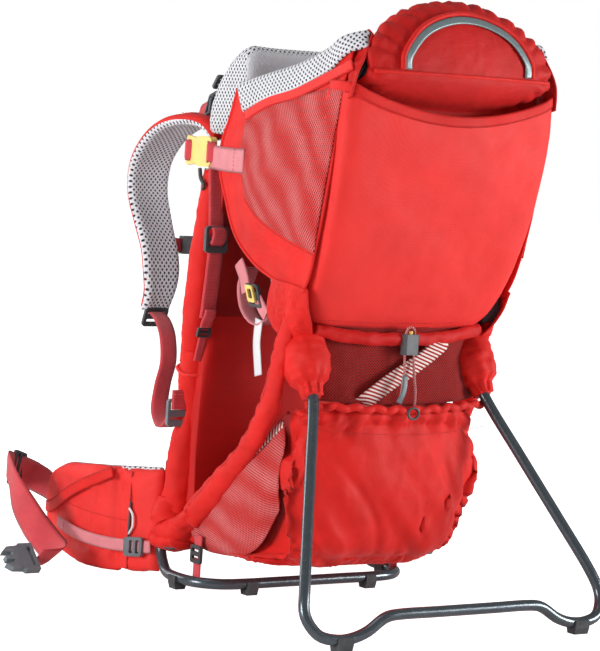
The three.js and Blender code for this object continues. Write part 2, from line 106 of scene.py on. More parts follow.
def add_world():
    world = bpy.data.worlds.new("studio")
    world.use_nodes = True
    nodes, join = world.node_tree.nodes, world.node_tree.links.new
    dim = nodes.new("ShaderNodeBackground")
    for background, strength in ((nodes["Background"], 1.0), (dim, WORLD_DIM)):
        background.inputs["Color"].default_value = WHITE_LIGHT
        background.inputs["Strength"].default_value = strength
    pick = nodes.new("ShaderNodeMixShader")
    path = nodes.new("ShaderNodeLightPath")
    join(path.outputs["Is Camera Ray"], pick.inputs[0])
    join(dim.outputs[0], pick.inputs[1])
    join(nodes["Background"].outputs[0], pick.inputs[2])
    join(pick.outputs[0], nodes["World Output"].inputs["Surface"])
    bpy.context.scene.world = world


def add_studio():
    """A white world and a floor that the camera sees as plain white."""
    scene = bpy.context.scene
    scene.view_settings.view_transform = "Standard"
    add_world()
    mesh = bpy.data.meshes.new("floor")
    half = FLOOR_HALF
    mesh.from_pydata([(-half, -half, 0), (half, -half, 0), (half, half, 0), (-half, half, 0)], [], [(0, 1, 2, 3)])
    floor = bpy.data.objects.new("floor", mesh)
    scene.collection.objects.link(floor)
    pale = bpy.data.materials.new("floor")
    pale.use_nodes = True
    shader = pale.node_tree.nodes["Principled BSDF"]
    shader.inputs["Base Color"].default_value = (0.93, 0.93, 0.93, 1)
    shader.inputs["Roughness"].default_value = 0.9
    shader.inputs["Specular IOR Level"].default_value = 0.1
    shader.inputs["Emission Color"].default_value = WHITE_LIGHT
    seen = pale.node_tree.nodes.new("ShaderNodeLightPath").outputs["Is Camera Ray"]
    pale.node_tree.links.new(seen, shader.inputs["Emission Strength"])
    mesh.materials.append(pale)
    for light in LIGHTS:
        area_light(*light)


# ---------- materials ----------
class Shader:
    """A material's node tree, built one node at a time."""

    def __init__(self, name):
        self.material = bpy.data.materials.new(name)
        self.material.use_nodes = True
        self.tree = self.material.node_tree
        self.out = self.tree.nodes["Principled BSDF"]
        self.texture = self.add("TexCoord")

    def add(self, kind, **inputs):
        node = self.tree.nodes.new("ShaderNode" + kind)
        for key, value in inputs.items():
            self.put(node, key.replace("_", " "), value)
        return node

    def put(self, node, key, value):
        place = node.inputs[int(key) if key.isdigit() else key]
        if isinstance(value, bpy.types.NodeSocket):
            self.tree.links.new(value, place)
        else:
            place.default_value = value

    def math(self, operation, a, b=0.0):
        node = self.add("Math")
        node.operation = operation
        self.put(node, "0", a)
        self.put(node, "1", b)
        return node.outputs[0]

    def coordinates(self, uv, scale=(1, 1, 1), turn=0.0):
        source = self.texture.outputs["UV" if uv else "Object"]
        mapping = self.add("Mapping", Vector=source, Scale=scale, Rotation=(0, 0, turn))
        return mapping.outputs["Vector"]

    def noise(self, size, detail=3, uv=False):
        node = self.add("TexNoise", Vector=self.coordinates(uv), Scale=1 / size, Detail=detail)
        return node.outputs["Fac"]

    def ramp(self, fac, stops):
        node = self.add("ValToRGB", Fac=fac)
        band = node.color_ramp
        while len(band.elements) < len(stops):
            band.elements.new(0.5)
        for element, (place, colour) in zip(band.elements, stops):
            element.position = place
            element.color = (*colour, 1)
        return node.outputs["Color"]

    def wave(self, vector, direction, pitch):
        node = self.add("TexWave", Vector=vector, Scale=math.tau / 20 / pitch)
        node.bands_direction = direction
        return node.outputs["Fac"]

    def mix(self, fac, a, b):
        node = self.add("Mix")
        node.data_type = "RGBA"
        for key, value in ((0, fac), (6, a), (7, b)):
            if isinstance(value, bpy.types.NodeSocket):
                self.tree.links.new(value, node.inputs[key])
            else:
                node.inputs[key].default_value = value if key == 0 else (*value, 1)
        return node.outputs[2]

    def finish(self, colour, roughness, height=None, depth=0.0, **fixed):
        self.put(self.out, "Base Color", colour)
        self.put(self.out, "Roughness", roughness)
        if height is not None:
            bump = self.add("Bump", Height=height, Distance=depth)
            self.put(self.out, "Normal", bump.outputs["Normal"])
        for key, value in fixed.items():
            self.out.inputs[key.replace("_", " ")].default_value = value
        return self.material


def spread(colour, amount):
    """The colour a little darker and a little lighter, for uneven dye."""
    return [(0.25, tuple(c * (1 - amount) for c in colour)),
            (0.75, tuple(min(1, c * (1 + amount)) for c in colour))]


def greys(low, high, start=0.3, end=0.7):
    """Ramp stops for a roughness that goes from low to high."""
    return [(start, (low,) * 3), (end, (high,) * 3)]


def woven(name, colour, pitch=0.9 * MM, uneven=0.16, sheen=0.12):
    """Plain weave: two crossed sets of threads, uneven dye and soft creases."""
    s = Shader(name)
    flat = s.coordinates(False)
    threads = s.math("ADD", s.math("MULTIPLY", s.wave(flat, "X", pitch), s.wave(flat, "Z", pitch)),
                     s.math("MULTIPLY", s.wave(flat, "Y", pitch), 0.5))
    creases = s.noise(26 * MM, 4)
    dye = s.ramp(s.noise(60 * MM, 5), spread(colour, uneven))
    fine = s.math("MULTIPLY", threads, 0.12)
    tinted = s.mix(fine, dye, tuple(c * 0.55 for c in colour))
    dull = s.ramp(creases, greys(0.5, 0.64))
    height = s.math("ADD", s.math("MULTIPLY", threads, 0.12), s.math("MULTIPLY", creases, 0.9))
    return s.finish(tinted, dull, height, 0.9 * MM, Sheen_Weight=sheen, Sheen_Roughness=0.45,
                    Sheen_Tint=(1, 0.5, 0.5, 1), Specular_IOR_Level=0.22)


def ribbed(name, colour, pitch=1.7 * MM, uneven=0.12):
    """Webbing: ribs across the tape, a softer groove along each selvedge."""
    s = Shader(name)
    flat = s.coordinates(True)
    ribs = s.math("MULTIPLY", s.wave(flat, "Y", pitch), 0.75)
    yarn = s.math("ADD", ribs, s.math("MULTIPLY", s.wave(flat, "X", 2.1 * MM), 0.35))
    dye = s.ramp(s.noise(22 * MM, 4), spread(colour, uneven))
    tinted = s.mix(s.math("MULTIPLY", yarn, 0.28), dye, tuple(c * 0.5 for c in colour))
    dull = s.ramp(s.noise(9 * MM), greys(0.55, 0.72))
    return s.finish(tinted, dull, yarn, 0.35 * MM, Sheen_Weight=0.2, Sheen_Roughness=0.5,
                    Specular_IOR_Level=0.3)


def spacer_mesh(name, colour, hole, across, along, size, depth=1.0 * MM, pale=None):
    """Spacer mesh: staggered oval holes in a fine knit.
    pale is a paler pink painted in streaks across the mesh: painted highlight on its folds."""
    s = Shader(name)
    lattice = s.coordinates(True, (math.sqrt(2) / across, math.sqrt(2) / along, 1), math.pi / 4)
    cells = s.add("TexVoronoi", Vector=lattice, Scale=1.0, Randomness=0.0)
    cells.voronoi_dimensions = "2D"
    distance = cells.outputs["Distance"]
    knit = s.math("MULTIPLY", s.wave(s.coordinates(True), "X", 0.9 * MM), 0.2)
    open_part = s.ramp(distance, [(size * 0.8, (0, 0, 0)), (size * 1.35, (1, 1, 1))])
    dye = s.ramp(s.noise(40 * MM, 4), spread(colour, 0.06))
    if pale:
        # Streaks of painted highlight in the paler pink, across the mesh.
        highlight_streaks = s.add("TexWave", Vector=s.coordinates(True, turn=0.75), Scale=9.0, Distortion=5.0, Detail=2.0)
        dye = s.mix(s.math("MULTIPLY", highlight_streaks.outputs["Fac"], s.noise(50 * MM, 3)), dye, pale)
    tinted = s.mix(open_part, hole, dye)
    dull = s.ramp(s.noise(12 * MM), greys(0.75, 0.92))
    height = s.math("ADD", open_part, knit)
    return s.finish(tinted, dull, height, depth, Sheen_Weight=0.1, Sheen_Roughness=0.6,
                    Specular_IOR_Level=0.15)


def napped(name, colour):
    """Fleece: a soft short nap."""
    s = Shader(name)
    nap = s.math("ADD", s.noise(2.2 * MM, 5), s.math("MULTIPLY", s.noise(14 * MM, 3), 0.8))
    dye = s.ramp(s.noise(30 * MM, 5), spread(colour, 0.07))
    dull = s.ramp(s.noise(6 * MM), greys(0.85, 1.0))
    return s.finish(dye, dull, nap, 0.9 * MM, Sheen_Weight=0.5, Sheen_Roughness=0.7, Specular_IOR_Level=0.1)


def moulded(name, colour, rough=0.42, wear=1.5, metallic=0.0, coat=0.0, grain=0.35 * MM):
    """Moulded or painted surface: fine grain, handled patches that shine and pale scuffed edges."""
    s = Shader(name)
    edge = s.add("NewGeometry").outputs["Pointiness"]
    scuffed = s.ramp(edge, [(0.52, (0, 0, 0)), (0.62, (1, 1, 1))])
    patchy = s.math("MULTIPLY", scuffed, s.noise(7 * MM, 5))
    dye = s.ramp(s.noise(18 * MM, 4), spread(colour, 0.14))
    worn = s.mix(patchy, dye, tuple(min(1, c * wear + 0.03) for c in colour))
    dull = s.ramp(s.noise(11 * MM, 5), greys(rough * 0.8, min(1, rough * 1.25)))
    return s.finish(worn, dull, s.noise(grain, 2), 0.05 * MM, Metallic=metallic, Coat_Weight=coat,
                    Coat_Roughness=0.15)


def twisted(name, colour, fleck, pitch=2.2 * MM):
    """Cord: a slanting twist with a fleck of a second colour."""
    s = Shader(name)
    lay = s.wave(s.coordinates(True, turn=0.7), "Y", pitch)
    tinted = s.mix(s.math("MULTIPLY", s.noise(2.5 * MM), lay), colour, fleck)
    dull = s.ramp(lay, greys(0.5, 0.7, 0.2, 0.8))
    return s.finish(tinted, dull, lay, 0.3 * MM, Specular_IOR_Level=0.3)


def glassy_tape(name, colour):
    """Reflective tape: a fine honeycomb of glass beads under a grey face."""
    s = Shader(name)
    cells = s.add("TexVoronoi", Vector=s.coordinates(True, (1 / (2 * MM),) * 3), Scale=1.0, Randomness=0.1)
    comb = s.ramp(cells.outputs["Distance"], [(0.35, tuple(colour)), (0.5, tuple(c * 0.6 for c in colour))])
    dull = s.ramp(s.noise(8 * MM), greys(0.3, 0.45))
    return s.finish(comb, dull, cells.outputs["Distance"], 0.1 * MM, Metallic=0.35)


def hatched(name, dark, pale, pitch=4.2 * MM):
    """Open stretch trim: pale yarns slanting across a darker ground."""
    s = Shader(name)
    bars = s.wave(s.coordinates(True, turn=0.9), "X", pitch)
    tinted = s.ramp(bars, [(0.45, tuple(dark)), (0.6, tuple(pale))])
    dull = s.ramp(s.noise(6 * MM), greys(0.65, 0.85))
    return s.finish(tinted, dull, bars, 0.4 * MM, Specular_IOR_Level=0.2)


RED = woven("red_fabric", (0.72, 0.014, 0.010))
# A lighter copy of the red fabric, painted light: the rear pocket, the hip fins' faces and bindings that face the
# key light.
RED_LIT = woven("red_fabric_lit", (0.86, 0.035, 0.030), uneven=0.07)
# A much darker copy of the red fabric, painted shade: the upper child side of the back cover, the lumbar cushion and
# the seat's underside.
RED_DEEP_SHADE = woven("red_fabric_deep_shade", (0.30, 0.003, 0.002), uneven=0.12, sheen=0.03)
# A darker copy of the red fabric, painted shade: the hood, its rim and gussets, the seat's hem roll and the lower
# child side of the back cover.
RED_SHADED = woven("red_fabric_shaded", (0.58, 0.010, 0.008), sheen=0.05)
WEBBING = ribbed("webbing", (0.70, 0.060, 0.075))
WEBBING_PALE = ribbed("webbing_pale", (0.80, 0.26, 0.29))
AIR_MESH = spacer_mesh("air_mesh", (0.78, 0.78, 0.82), (0.02, 0.02, 0.025), 6.6 * MM, 8.0 * MM, 0.25)
RED_MESH = spacer_mesh("red_mesh", (0.78, 0.045, 0.042), (0.30, 0.004, 0.004), 3.4 * MM, 4.2 * MM, 0.33,
                       0.7 * MM, (0.94, 0.30, 0.30))
DARK_MESH = spacer_mesh("dark_red_mesh", (0.40, 0.012, 0.010), (0.09, 0.002, 0.002), 3.4 * MM, 3.8 * MM, 0.3,
                        0.7 * MM)
FLEECE = napped("fleece", (0.66, 0.67, 0.71))
TAPE = glassy_tape("reflective", (0.25, 0.33, 0.34))
HATCH = hatched("hatched_trim", (0.42, 0.02, 0.02), (0.84, 0.78, 0.74))
TUBE = moulded("tube_paint", (0.075, 0.095, 0.11), rough=0.24, metallic=0.55, coat=0.35, wear=2.0)
PLASTIC = moulded("plastic", (0.035, 0.040, 0.045), wear=2.5)
PLASTIC_GREY = moulded("plastic_grey", (0.12, 0.14, 0.155), wear=1.8)
YELLOW = moulded("yellow_plastic", (0.86, 0.60, 0.16), rough=0.4, wear=1.1)
RUBBER = moulded("rubber", (0.03, 0.032, 0.035), rough=0.8, wear=2.0, grain=0.8 * MM)
STEEL = moulded("steel", (0.42, 0.43, 0.45), rough=0.3, metallic=1.0, wear=1.2)
CORD = twisted("cord", (0.45, 0.03, 0.03), (0.75, 0.70, 0.68))
THREAD = woven("thread", (0.52, 0.02, 0.018), pitch=0.5 * MM)
THREAD_PALE = woven("thread_pale", (0.86, 0.22, 0.20), pitch=0.5 * MM)
WHITE = woven("care_label", (0.80, 0.82, 0.84), pitch=0.6 * MM, uneven=0.04)


# ---------- mesh helpers ----------
def mm(*points):
    return [Vector(p) * MM for p in points]


def mirror(points, side):
    """Points given for the right-hand side (+X), moved to the side asked for."""
    return [Vector((p[0] * side, p[1], p[2])) for p in points]


def spline(points, count):
    """Points spaced evenly along a smooth curve through the given ones."""
    knots = [0.0]
    for a, b in zip(points, points[1:]):
        knots.append(knots[-1] + max(1e-6, (b - a).length) ** 0.5)
    slopes = []
    for i in range(len(points)):
        low, high = max(0, i - 1), min(len(points) - 1, i + 1)
        slopes.append((points[high] - points[low]) / (knots[high] - knots[low]))
    dense = []
    fine = 14
    for i in range(len(points) - 1):
        span = knots[i + 1] - knots[i]
        for k in range(fine):
            t = k / fine
            dense.append(points[i] * (2 * t ** 3 - 3 * t * t + 1) + points[i + 1] * (3 * t * t - 2 * t ** 3)
                         + slopes[i] * span * (t ** 3 - 2 * t * t + t) + slopes[i + 1] * span * (t ** 3 - t * t))
    dense.append(points[-1].copy())
    return evenly(dense, count)


def evenly(dense, count):
    lengths = [0.0]
    for a, b in zip(dense, dense[1:]):
        lengths.append(lengths[-1] + (b - a).length)
    made, k = [], 0
    for i in range(count):
        want = lengths[-1] * i / (count - 1)
        while k < len(dense) - 2 and lengths[k + 1] < want:
            k += 1
        part = (want - lengths[k]) / max(1e-9, lengths[k + 1] - lengths[k])
        made.append(dense[k].lerp(dense[k + 1], min(1, part)))
    return made


def skin(rails, rows, columns):
    """A grid of points through a few curves that run side by side."""
    along = [spline(rail, columns) for rail in rails]
    if len(along) == rows:
        return along
    lines = [spline([rail[j] for rail in along], rows) for j in range(columns)]
    return [[lines[j][i] for j in range(columns)] for i in range(rows)]


def tangent(path, i):
    return (path[min(i + 1, len(path) - 1)] - path[max(i - 1, 0)]).normalized()


def normals(grid):
    rows, columns = len(grid), len(grid[0])
    made = []
    for i in range(rows):
        line = []
        for j in range(columns):
            down = grid[min(i + 1, rows - 1)][j] - grid[max(i - 1, 0)][j]
            side = grid[i][min(j + 1, columns - 1)] - grid[i][max(j - 1, 0)]
            line.append(side.cross(down).normalized())
        made.append(line)
    return made


def build(name, points, faces, uvs, materials, picks=None):
    """An object from points, faces, a UV for each point and a material index for each face."""
    mesh = bpy.data.meshes.new(name)
    mesh.from_pydata([tuple(p) for p in points], [], faces)
    for material in materials:
        mesh.materials.append(material)
    layer = mesh.uv_layers.new(name="UVMap")
    for loop in mesh.loops:
        layer.data[loop.index].uv = uvs[loop.vertex_index]
    for face in mesh.polygons:
        face.use_smooth = True
        if picks:
            face.material_index = picks[face.index]
    mesh.update()
    made = bpy.data.objects.new(name, mesh)
    bpy.context.scene.collection.objects.link(made)
    return made


def grid_uv(grid):
    """Distances along the rows and down the columns, so that a weave keeps its real scale."""
    rows, columns = len(grid), len(grid[0])
    middle = columns // 2
    down = [0.0]
    for i in range(1, rows):
        down.append(down[-1] + (grid[i][middle] - grid[i - 1][middle]).length)
    made = []
    for i in range(rows):
        run = [0.0]
        for j in range(1, columns):
            run.append(run[-1] + (grid[i][j] - grid[i][j - 1]).length)
        half = run[middle]
        made.append([(r - half, down[i]) for r in run])
    return made


def cloth(name, grid, material, thickness=1.2 * MM, wave=0.0, size=30 * MM, seed=0, hold=0.12):
    """A single layer of fabric. wave is how far it ripples, held still near its edges."""
    rows, columns = len(grid), len(grid[0])
    if wave:
        grid = ripple(grid, wave, size, seed, hold)
    uv = grid_uv(grid)
    points = [p for row in grid for p in row]
    faces = [(i * columns + j, i * columns + j + 1, (i + 1) * columns + j + 1, (i + 1) * columns + j)
             for i in range(rows - 1) for j in range(columns - 1)]
    made = build(name, points, faces, [c for row in uv for c in row], [material])
    thick = made.modifiers.new("thickness", "SOLIDIFY")
    thick.thickness = thickness
    thick.offset = 0
    return made


def ripple(grid, wave, size, seed, hold):
    rows, columns = len(grid), len(grid[0])
    out = normals(grid)
    moved = []
    for i in range(rows):
        line = []
        for j in range(columns):
            inside = min(i / (rows - 1), 1 - i / (rows - 1), j / (columns - 1), 1 - j / (columns - 1))
            ease = min(1, inside / hold) if hold else 1
            push = noise.fractal(grid[i][j] / size + Vector((seed, seed * 2.3, 0)), 0.9, 2.1, 3)
            line.append(grid[i][j] + out[i][j] * push * wave * ease)
        moved.append(line)
    return moved


def pad(name, grid, thickness, face, back, edge=None, rounding=8 * MM, quilt=()):
    """A stuffed piece: a middle surface swollen to both sides and sewn shut round its rim.
    quilt holds sewn lines as (row or column share, "row" or "column")."""
    rows, columns = len(grid), len(grid[0])
    out = normals(grid)
    uv = grid_uv(grid)
    tall = sum((grid[i + 1][columns // 2] - grid[i][columns // 2]).length for i in range(rows - 1))
    wide = sum((grid[rows // 2][j + 1] - grid[rows // 2][j]).length for j in range(columns - 1))
    sides = {1: [], -1: []}
    for i in range(rows):
        for j in range(columns):
            down, right = i / (rows - 1), j / (columns - 1)
            inside = min(down * tall, (1 - down) * tall, right * wide, (1 - right) * wide)
            full = math.sqrt(max(0, 1 - (1 - min(1, inside / rounding)) ** 2))
            for share, way in quilt:
                off = abs(down - share) * tall if way == "row" else abs(right - share) * wide
                full *= 1 - 0.45 * math.exp(-((off / (5 * MM)) ** 2))
            for side in sides:
                sides[side].append(grid[i][j] + out[i][j] * side * (0.08 + 0.92 * full) * thickness / 2)
    count = rows * columns
    points = sides[1] + sides[-1]
    faces, picks = [], []
    for i in range(rows - 1):
        for j in range(columns - 1):
            a, d = i * columns + j, (i + 1) * columns + j
            b, c = a + 1, d + 1
            faces += [(a, d, c, b), (a + count, b + count, c + count, d + count)]
            picks += [0, 1]
    rim = [j for j in range(columns)] + [i * columns + columns - 1 for i in range(1, rows)]
    rim += [(rows - 1) * columns + j for j in range(columns - 2, -1, -1)]
    rim += [i * columns for i in range(rows - 2, 0, -1)]
    for a, b in zip(rim, rim[1:] + rim[:1]):
        faces.append((a, b, b + count, a + count))
        picks.append(2 if edge else 0)
    flat = [c for row in uv for c in row] * 2
    return build(name, points, faces, flat, [face, back] + ([edge] if edge else []), picks)


def sweep(name, path, radius, material, sides=14, flat=1.0, across=None, capped=True):
    """A round or oval rod along a path. radius may be one number or one for each point."""
    radii = radius if isinstance(radius, list) else [radius] * len(path)
    guide = (across or UP).copy()
    points, uvs, faces = [], [], []
    run = 0.0
    for i, p in enumerate(path):
        along = tangent(path, i)
        side = guide - along * guide.dot(along)
        if side.length < 1e-4:
            side = along.orthogonal()
        side.normalize()
        if across is None:
            guide = side
        up = along.cross(side)
        run += (p - path[i - 1]).length if i else 0
        for k in range(sides):
            turn = math.tau * k / sides
            points.append(p + side * math.cos(turn) * radii[i] + up * math.sin(turn) * radii[i] * flat)
            uvs.append((k / sides * math.tau * radii[i], run))
    for i in range(len(path) - 1):
        for k in range(sides):
            n = (k + 1) % sides
            faces.append((i * sides + k, i * sides + n, (i + 1) * sides + n, (i + 1) * sides + k))
    if capped:
        faces.append(tuple(range(sides - 1, -1, -1)))
        faces.append(tuple((len(path) - 1) * sides + k for k in range(sides)))
    return build(name, points, faces, uvs, [material])


def ribbon(name, path, width, thickness, material, across=ACROSS, columns=7):
    """Webbing along a path: a closed tape with rounded selvedges.
    across is the direction of its width, or a function of the share of the path and its direction there."""
    half = columns - 1
    points, uvs, faces = [], [], []
    run = 0.0
    ring = 2 * half
    for i, p in enumerate(path):
        along = tangent(path, i)
        side = across(i / (len(path) - 1), along) if callable(across) else across
        side = (side - along * side.dot(along)).normalized()
        out = along.cross(side)
        run += (p - path[i - 1]).length if i else 0
        for k in range(ring):
            place = k / half if k <= half else (ring - k) / half
            lift = 1 if 0 < k < half else (0 if k in (0, half) else -1)
            points.append(p + side * (place - 0.5) * width + out * lift * thickness / 2)
            uvs.append(((place - 0.5) * width, run))
    for i in range(len(path) - 1):
        for k in range(ring):
            n = (k + 1) % ring
            faces.append((i * ring + k, i * ring + n, (i + 1) * ring + n, (i + 1) * ring + k))
    faces.append(tuple(range(ring - 1, -1, -1)))
    faces.append(tuple((len(path) - 1) * ring + k for k in range(ring)))
    return build(name, points, faces, uvs, [material])


def stitches(name, path, material):
    """A row of sewn stitches along a path."""
    pitch, length, radius = 4.2 * MM, 2.8 * MM, 0.45 * MM
    total = sum((b - a).length for a, b in zip(path, path[1:]))
    spots = evenly(path, max(3, int(total / pitch) * 2 + 1))
    points, faces, uvs = [], [], []
    for i in range(1, len(spots) - 1, 2):
        along = tangent(spots, i)
        side = along.orthogonal().normalized()
        up = along.cross(side)
        centre = spots[i]
        base = len(points)
        for step, wide in ((-0.5, 0.35), (-0.3, 1.0), (0.3, 1.0), (0.5, 0.35)):
            for k in range(5):
                turn = math.tau * k / 5
                points.append(centre + along * step * length
                              + (side * math.cos(turn) + up * math.sin(turn)) * radius * wide)
                uvs.append((k * 0.0005, step * length))
        for ring in range(3):
            for k in range(5):
                n = (k + 1) % 5
                a = base + ring * 5
                faces.append((a + k, a + n, a + 5 + n, a + 5 + k))
        faces += [tuple(base + k for k in range(4, -1, -1)), tuple(base + 15 + k for k in range(5))]
    return build(name, points, faces, uvs, [material])


def plate(name, outline, thickness, material, place, right, up, holes):
    """A flat moulded plate with rounded edges. outline and holes are (x, y) in mm in its own plane."""
    bevel = 0.6 * MM
    data = bpy.data.curves.new(name, "CURVE")
    data.dimensions = "2D"
    data.fill_mode = "BOTH"
    data.extrude = thickness / 2 - bevel
    data.bevel_depth = bevel
    data.bevel_resolution = 2
    data.offset = -bevel
    for points in [outline, *holes]:
        line = data.splines.new("POLY")
        line.points.add(len(points) - 1)
        for point, (x, y) in zip(line.points, points):
            point.co = (x * MM, y * MM, 0, 1)
        line.use_cyclic_u = True
    source = bpy.data.objects.new(name + "_outline", data)
    bpy.context.scene.collection.objects.link(source)
    bpy.context.view_layer.update()
    mesh = bpy.data.meshes.new_from_object(source.evaluated_get(bpy.context.evaluated_depsgraph_get()))
    bpy.data.objects.remove(source)
    bpy.data.curves.remove(data)
    right, up = Vector(right).normalized(), Vector(up).normalized()
    out = right.cross(up)
    turn = Matrix((right, up, out)).transposed().to_4x4()
    mesh.transform(Matrix.Translation(place) @ turn)
    mesh.name = name
    mesh.materials.clear()
    mesh.materials.append(material)
    for face in mesh.polygons:
        face.material_index = 0
        face.use_smooth = False
    made = bpy.data.objects.new(name, mesh)
    bpy.context.scene.collection.objects.link(made)
    return made


def rectangle(width, height, corner=2.0, steps=4, centre=(0, 0)):
    """Rounded rectangle, as points in mm."""
    made = []
    for cx, cy, start in ((1, 1, 0), (-1, 1, 90), (-1, -1, 180), (1, -1, 270)):
        for k in range(steps + 1):
            turn = math.radians(start + 90 * k / steps)
            made.append((centre[0] + cx * (width / 2 - corner) + corner * math.cos(turn),
                         centre[1] + cy * (height / 2 - corner) + corner * math.sin(turn)))
    return made


def puff(piece, pinned, pressure, grow, cap, frames=20):
    """Swells a piece with the cloth solver. Points that pinned() picks hold still, and none moves past cap."""
    rest = [v.co.copy() for v in piece.data.vertices]
    group = piece.vertex_groups.new(name="pin")
    group.add([v.index for v in piece.data.vertices if pinned(v.co)], 1, "REPLACE")
    solver = piece.modifiers.new("cloth", "CLOTH")
    piece.modifiers.move(len(piece.modifiers) - 1, 0)
    solver.settings.quality = 6
    solver.settings.use_pressure = True
    solver.settings.uniform_pressure_force = pressure
    solver.settings.shrink_min = -grow
    solver.settings.vertex_group_mass = "pin"
    solver.settings.effector_weights.gravity = 0
    solver.collision_settings.use_collision = False
    solver.point_cache.frame_start = 1
    solver.point_cache.frame_end = frames
    later = [m for m in piece.modifiers if m != solver]
    for m in later:
        m.show_viewport = False
    for step in range(1, frames + 1):
        bpy.context.scene.frame_set(step)
    swollen = piece.evaluated_get(bpy.context.evaluated_depsgraph_get())
    moved = [v.co.copy() for v in swollen.data.vertices]
    piece.modifiers.remove(solver)
    for m in later:
        m.show_viewport = True
    for v, old, new in zip(piece.data.vertices, rest, moved):
        step = new - old
        v.co = old + step * min(1, cap / max(step.length, 1e-9))
    piece.vertex_groups.clear()
    piece.data.update()
    bpy.context.scene.frame_set(1)


def lay(piece, grid, body, held, rests_on, *replaced):
    put(piece, body, *replaced)
    length = max(length_of([row[j] for row in grid]) for j in range(len(grid[0])))
    width = max(length_of(row) for row in grid)
    area = sum((a[j + 1] - a[j]).cross(b[j] - a[j]).length
               + (b[j + 1] - b[j]).cross(b[j + 1] - a[j + 1]).length
               for a, b in zip(grid, grid[1:]) for j in range(len(a) - 1)) / 2
    area = max(0.31 * width * length, min(area, width * length))
    return piece


def length_of(path):
    return sum((b - a).length for a, b in zip(path, path[1:]))


def put(piece, body, *replaced, fill=None):
    """Hangs a piece on its body and hides the CAD solids that it stands for."""
    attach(piece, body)
    if replaced:
        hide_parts(*replaced)
    return piece


# ---------- cords: the bag's drawcord and the two free belt ends ----------
CORD_ROUTE = mm((6.5, -199, 252), (6.5, -198, 270), (6.5, -193, 292), (6.5, -190, 312), (6.5, -190, 334),
                (4.6, -190, 341), (0, -190, 343.4), (-4.6, -190, 341), (-6.5, -190, 334), (-6.5, -190, 312),
                (-8, -194, 292), (-13, -198, 274), (-15, -199, 262))
BELT_ROUTE = mm((157, 348, 72), (160, 366, 78), (176, 382, 88), (202, 376, 98), (228, 346, 106),
                (246, 306, 104), (254, 270, 84), (248, 236, 52), (240, 208, 30), (243, 182, 22),
                (256, 168, 20), (268, 166, 20), (278, 166, 20))


def smoothstep(x, low, high):
    t = max(0.0, min(1.0, (x - low) / (high - low)))
    return t * t * (3 - 2 * t)


def belt_lean(share, along):
    """The belt's width stands up at the fin and leans over to the buckle's tilt at the floor."""
    level = Vector((-along.y, along.x, 0)).normalized()
    up = level.cross(along).normalized()
    if up.z < 0:
        up = -up
    turn = (math.pi / 2 - BUCKLE_TILT) * smoothstep(share, 0.45, 0.97)
    return up * math.cos(turn) + level * math.sin(turn)


def add_cords():
    route = spline(CORD_ROUTE, 90)
    drawcord = sweep("drawcord_line", route, CORD_D / 2, CORD, sides=10)
    put(drawcord, "frame", "drawcord")
    for side, name in SIDES.items():
        path = spline(mirror(BELT_ROUTE, side), 70)
        belt = ribbon("belt_end_" + name, path, BELT_W, BELT_T, WEBBING, belt_lean)
        put(belt, "fin_" + name, "belt_webbing_" + name)


# ---------- centre lines of the tubes ----------
FOOT_Z = 13.5  # mm, height of the tubes' middle over the feet
BASE_PATH = [(148, 92, 48), (150, 85, 32), (153, 68, 16), (155, 44, FOOT_Z), (150, 8, FOOT_Z),
             (128, -14, FOOT_Z), (95, -20, FOOT_Z), (40, -20, FOOT_Z)]
UPRIGHT_PATH = [(124, 71, 46), (124, 71, 170), (124, 60, 300), (124, 49, 400), (124, 37, 505)]
STRUT_PATH = [(144, 82, 48), (143, 58, 70), (140, -12, 128), (140, -82, 192), (140, -123, 252), (139, -138, 312),
              (138, -150, 362)]
ARCH_PATH = [(135, -150, 386), (134.5, -158, 420), (132, -187, 530), (126, -217, 610), (112, -226, 645),
             (78, -230, 668), (30, -232, 680)]
KICK_PATH = [(117, -124, 386), (117, -133, 350), (120, -160, 292), (126, -182, 256), (152, -222, 193),
             (182, -267, 122), (205, -302, 66), (211, -314, 40), (200, -324, 20), (180, -328, FOOT_Z),
             (158, -328, FOOT_Z), (136, -328, 20), (112, -327, 34), (92, -327, 37), (40, -327, 37)]


def both(half):
    """A path given from its right end to the middle, run on to the left end."""
    points = mm(*half)
    return points + mirror(points, LEFT)[::-1]


# ---------- short forms for hanging pieces; widths, radii and thicknesses here are in mm ----------
def spot(x, y, z):
    return Vector((x, y, z)) * MM


def curve(count, side, *points):
    """A smooth path given for the right-hand side, moved to the side asked for."""
    return spline(mirror(mm(*points), side), count)


def shifted(path, x, y, z):
    return [p + spot(x, y, z) for p in path]


def facing(x, y=0.0, z=0.0):
    """For ribbon(): lays the webbing's width square to its path and to this direction."""
    face = Vector((x, y, z))
    return lambda share, along: along.cross(face)


def web(name, body, path, width, material=WEBBING, across=ACROSS, thickness=WEB_T / MM):
    return put(ribbon(name, path, width * MM, thickness * MM, material, across), body)


def sew(name, body, path, material=THREAD):
    return put(stitches(name, path, material), body)


def rod(name, body, path, radius, material, sides=10, flat=1.0, capped=True):
    return put(sweep(name, path, radius * MM, material, sides, flat, capped=capped), body)


def sheet(name, grid, material, thickness, held, rests_on, replaced=(), **ripples):
    """A layer of fabric on the frame."""
    piece = cloth(name, grid, material, thickness * MM, **ripples)
    return lay(piece, grid, "frame", held, [rests_on], *replaced)


def buckle(name, body, size, thickness, material, place, right, up, slots):
    """A moulded plate. size is (width, height, corner) and each slot is (width, height, x, y)."""
    holes = [rectangle(wide, tall, 1, 2, (x, y)) for wide, tall, x, y in slots]
    return put(plate(name, rectangle(*size), thickness * MM, material, place, right, up, holes), body)


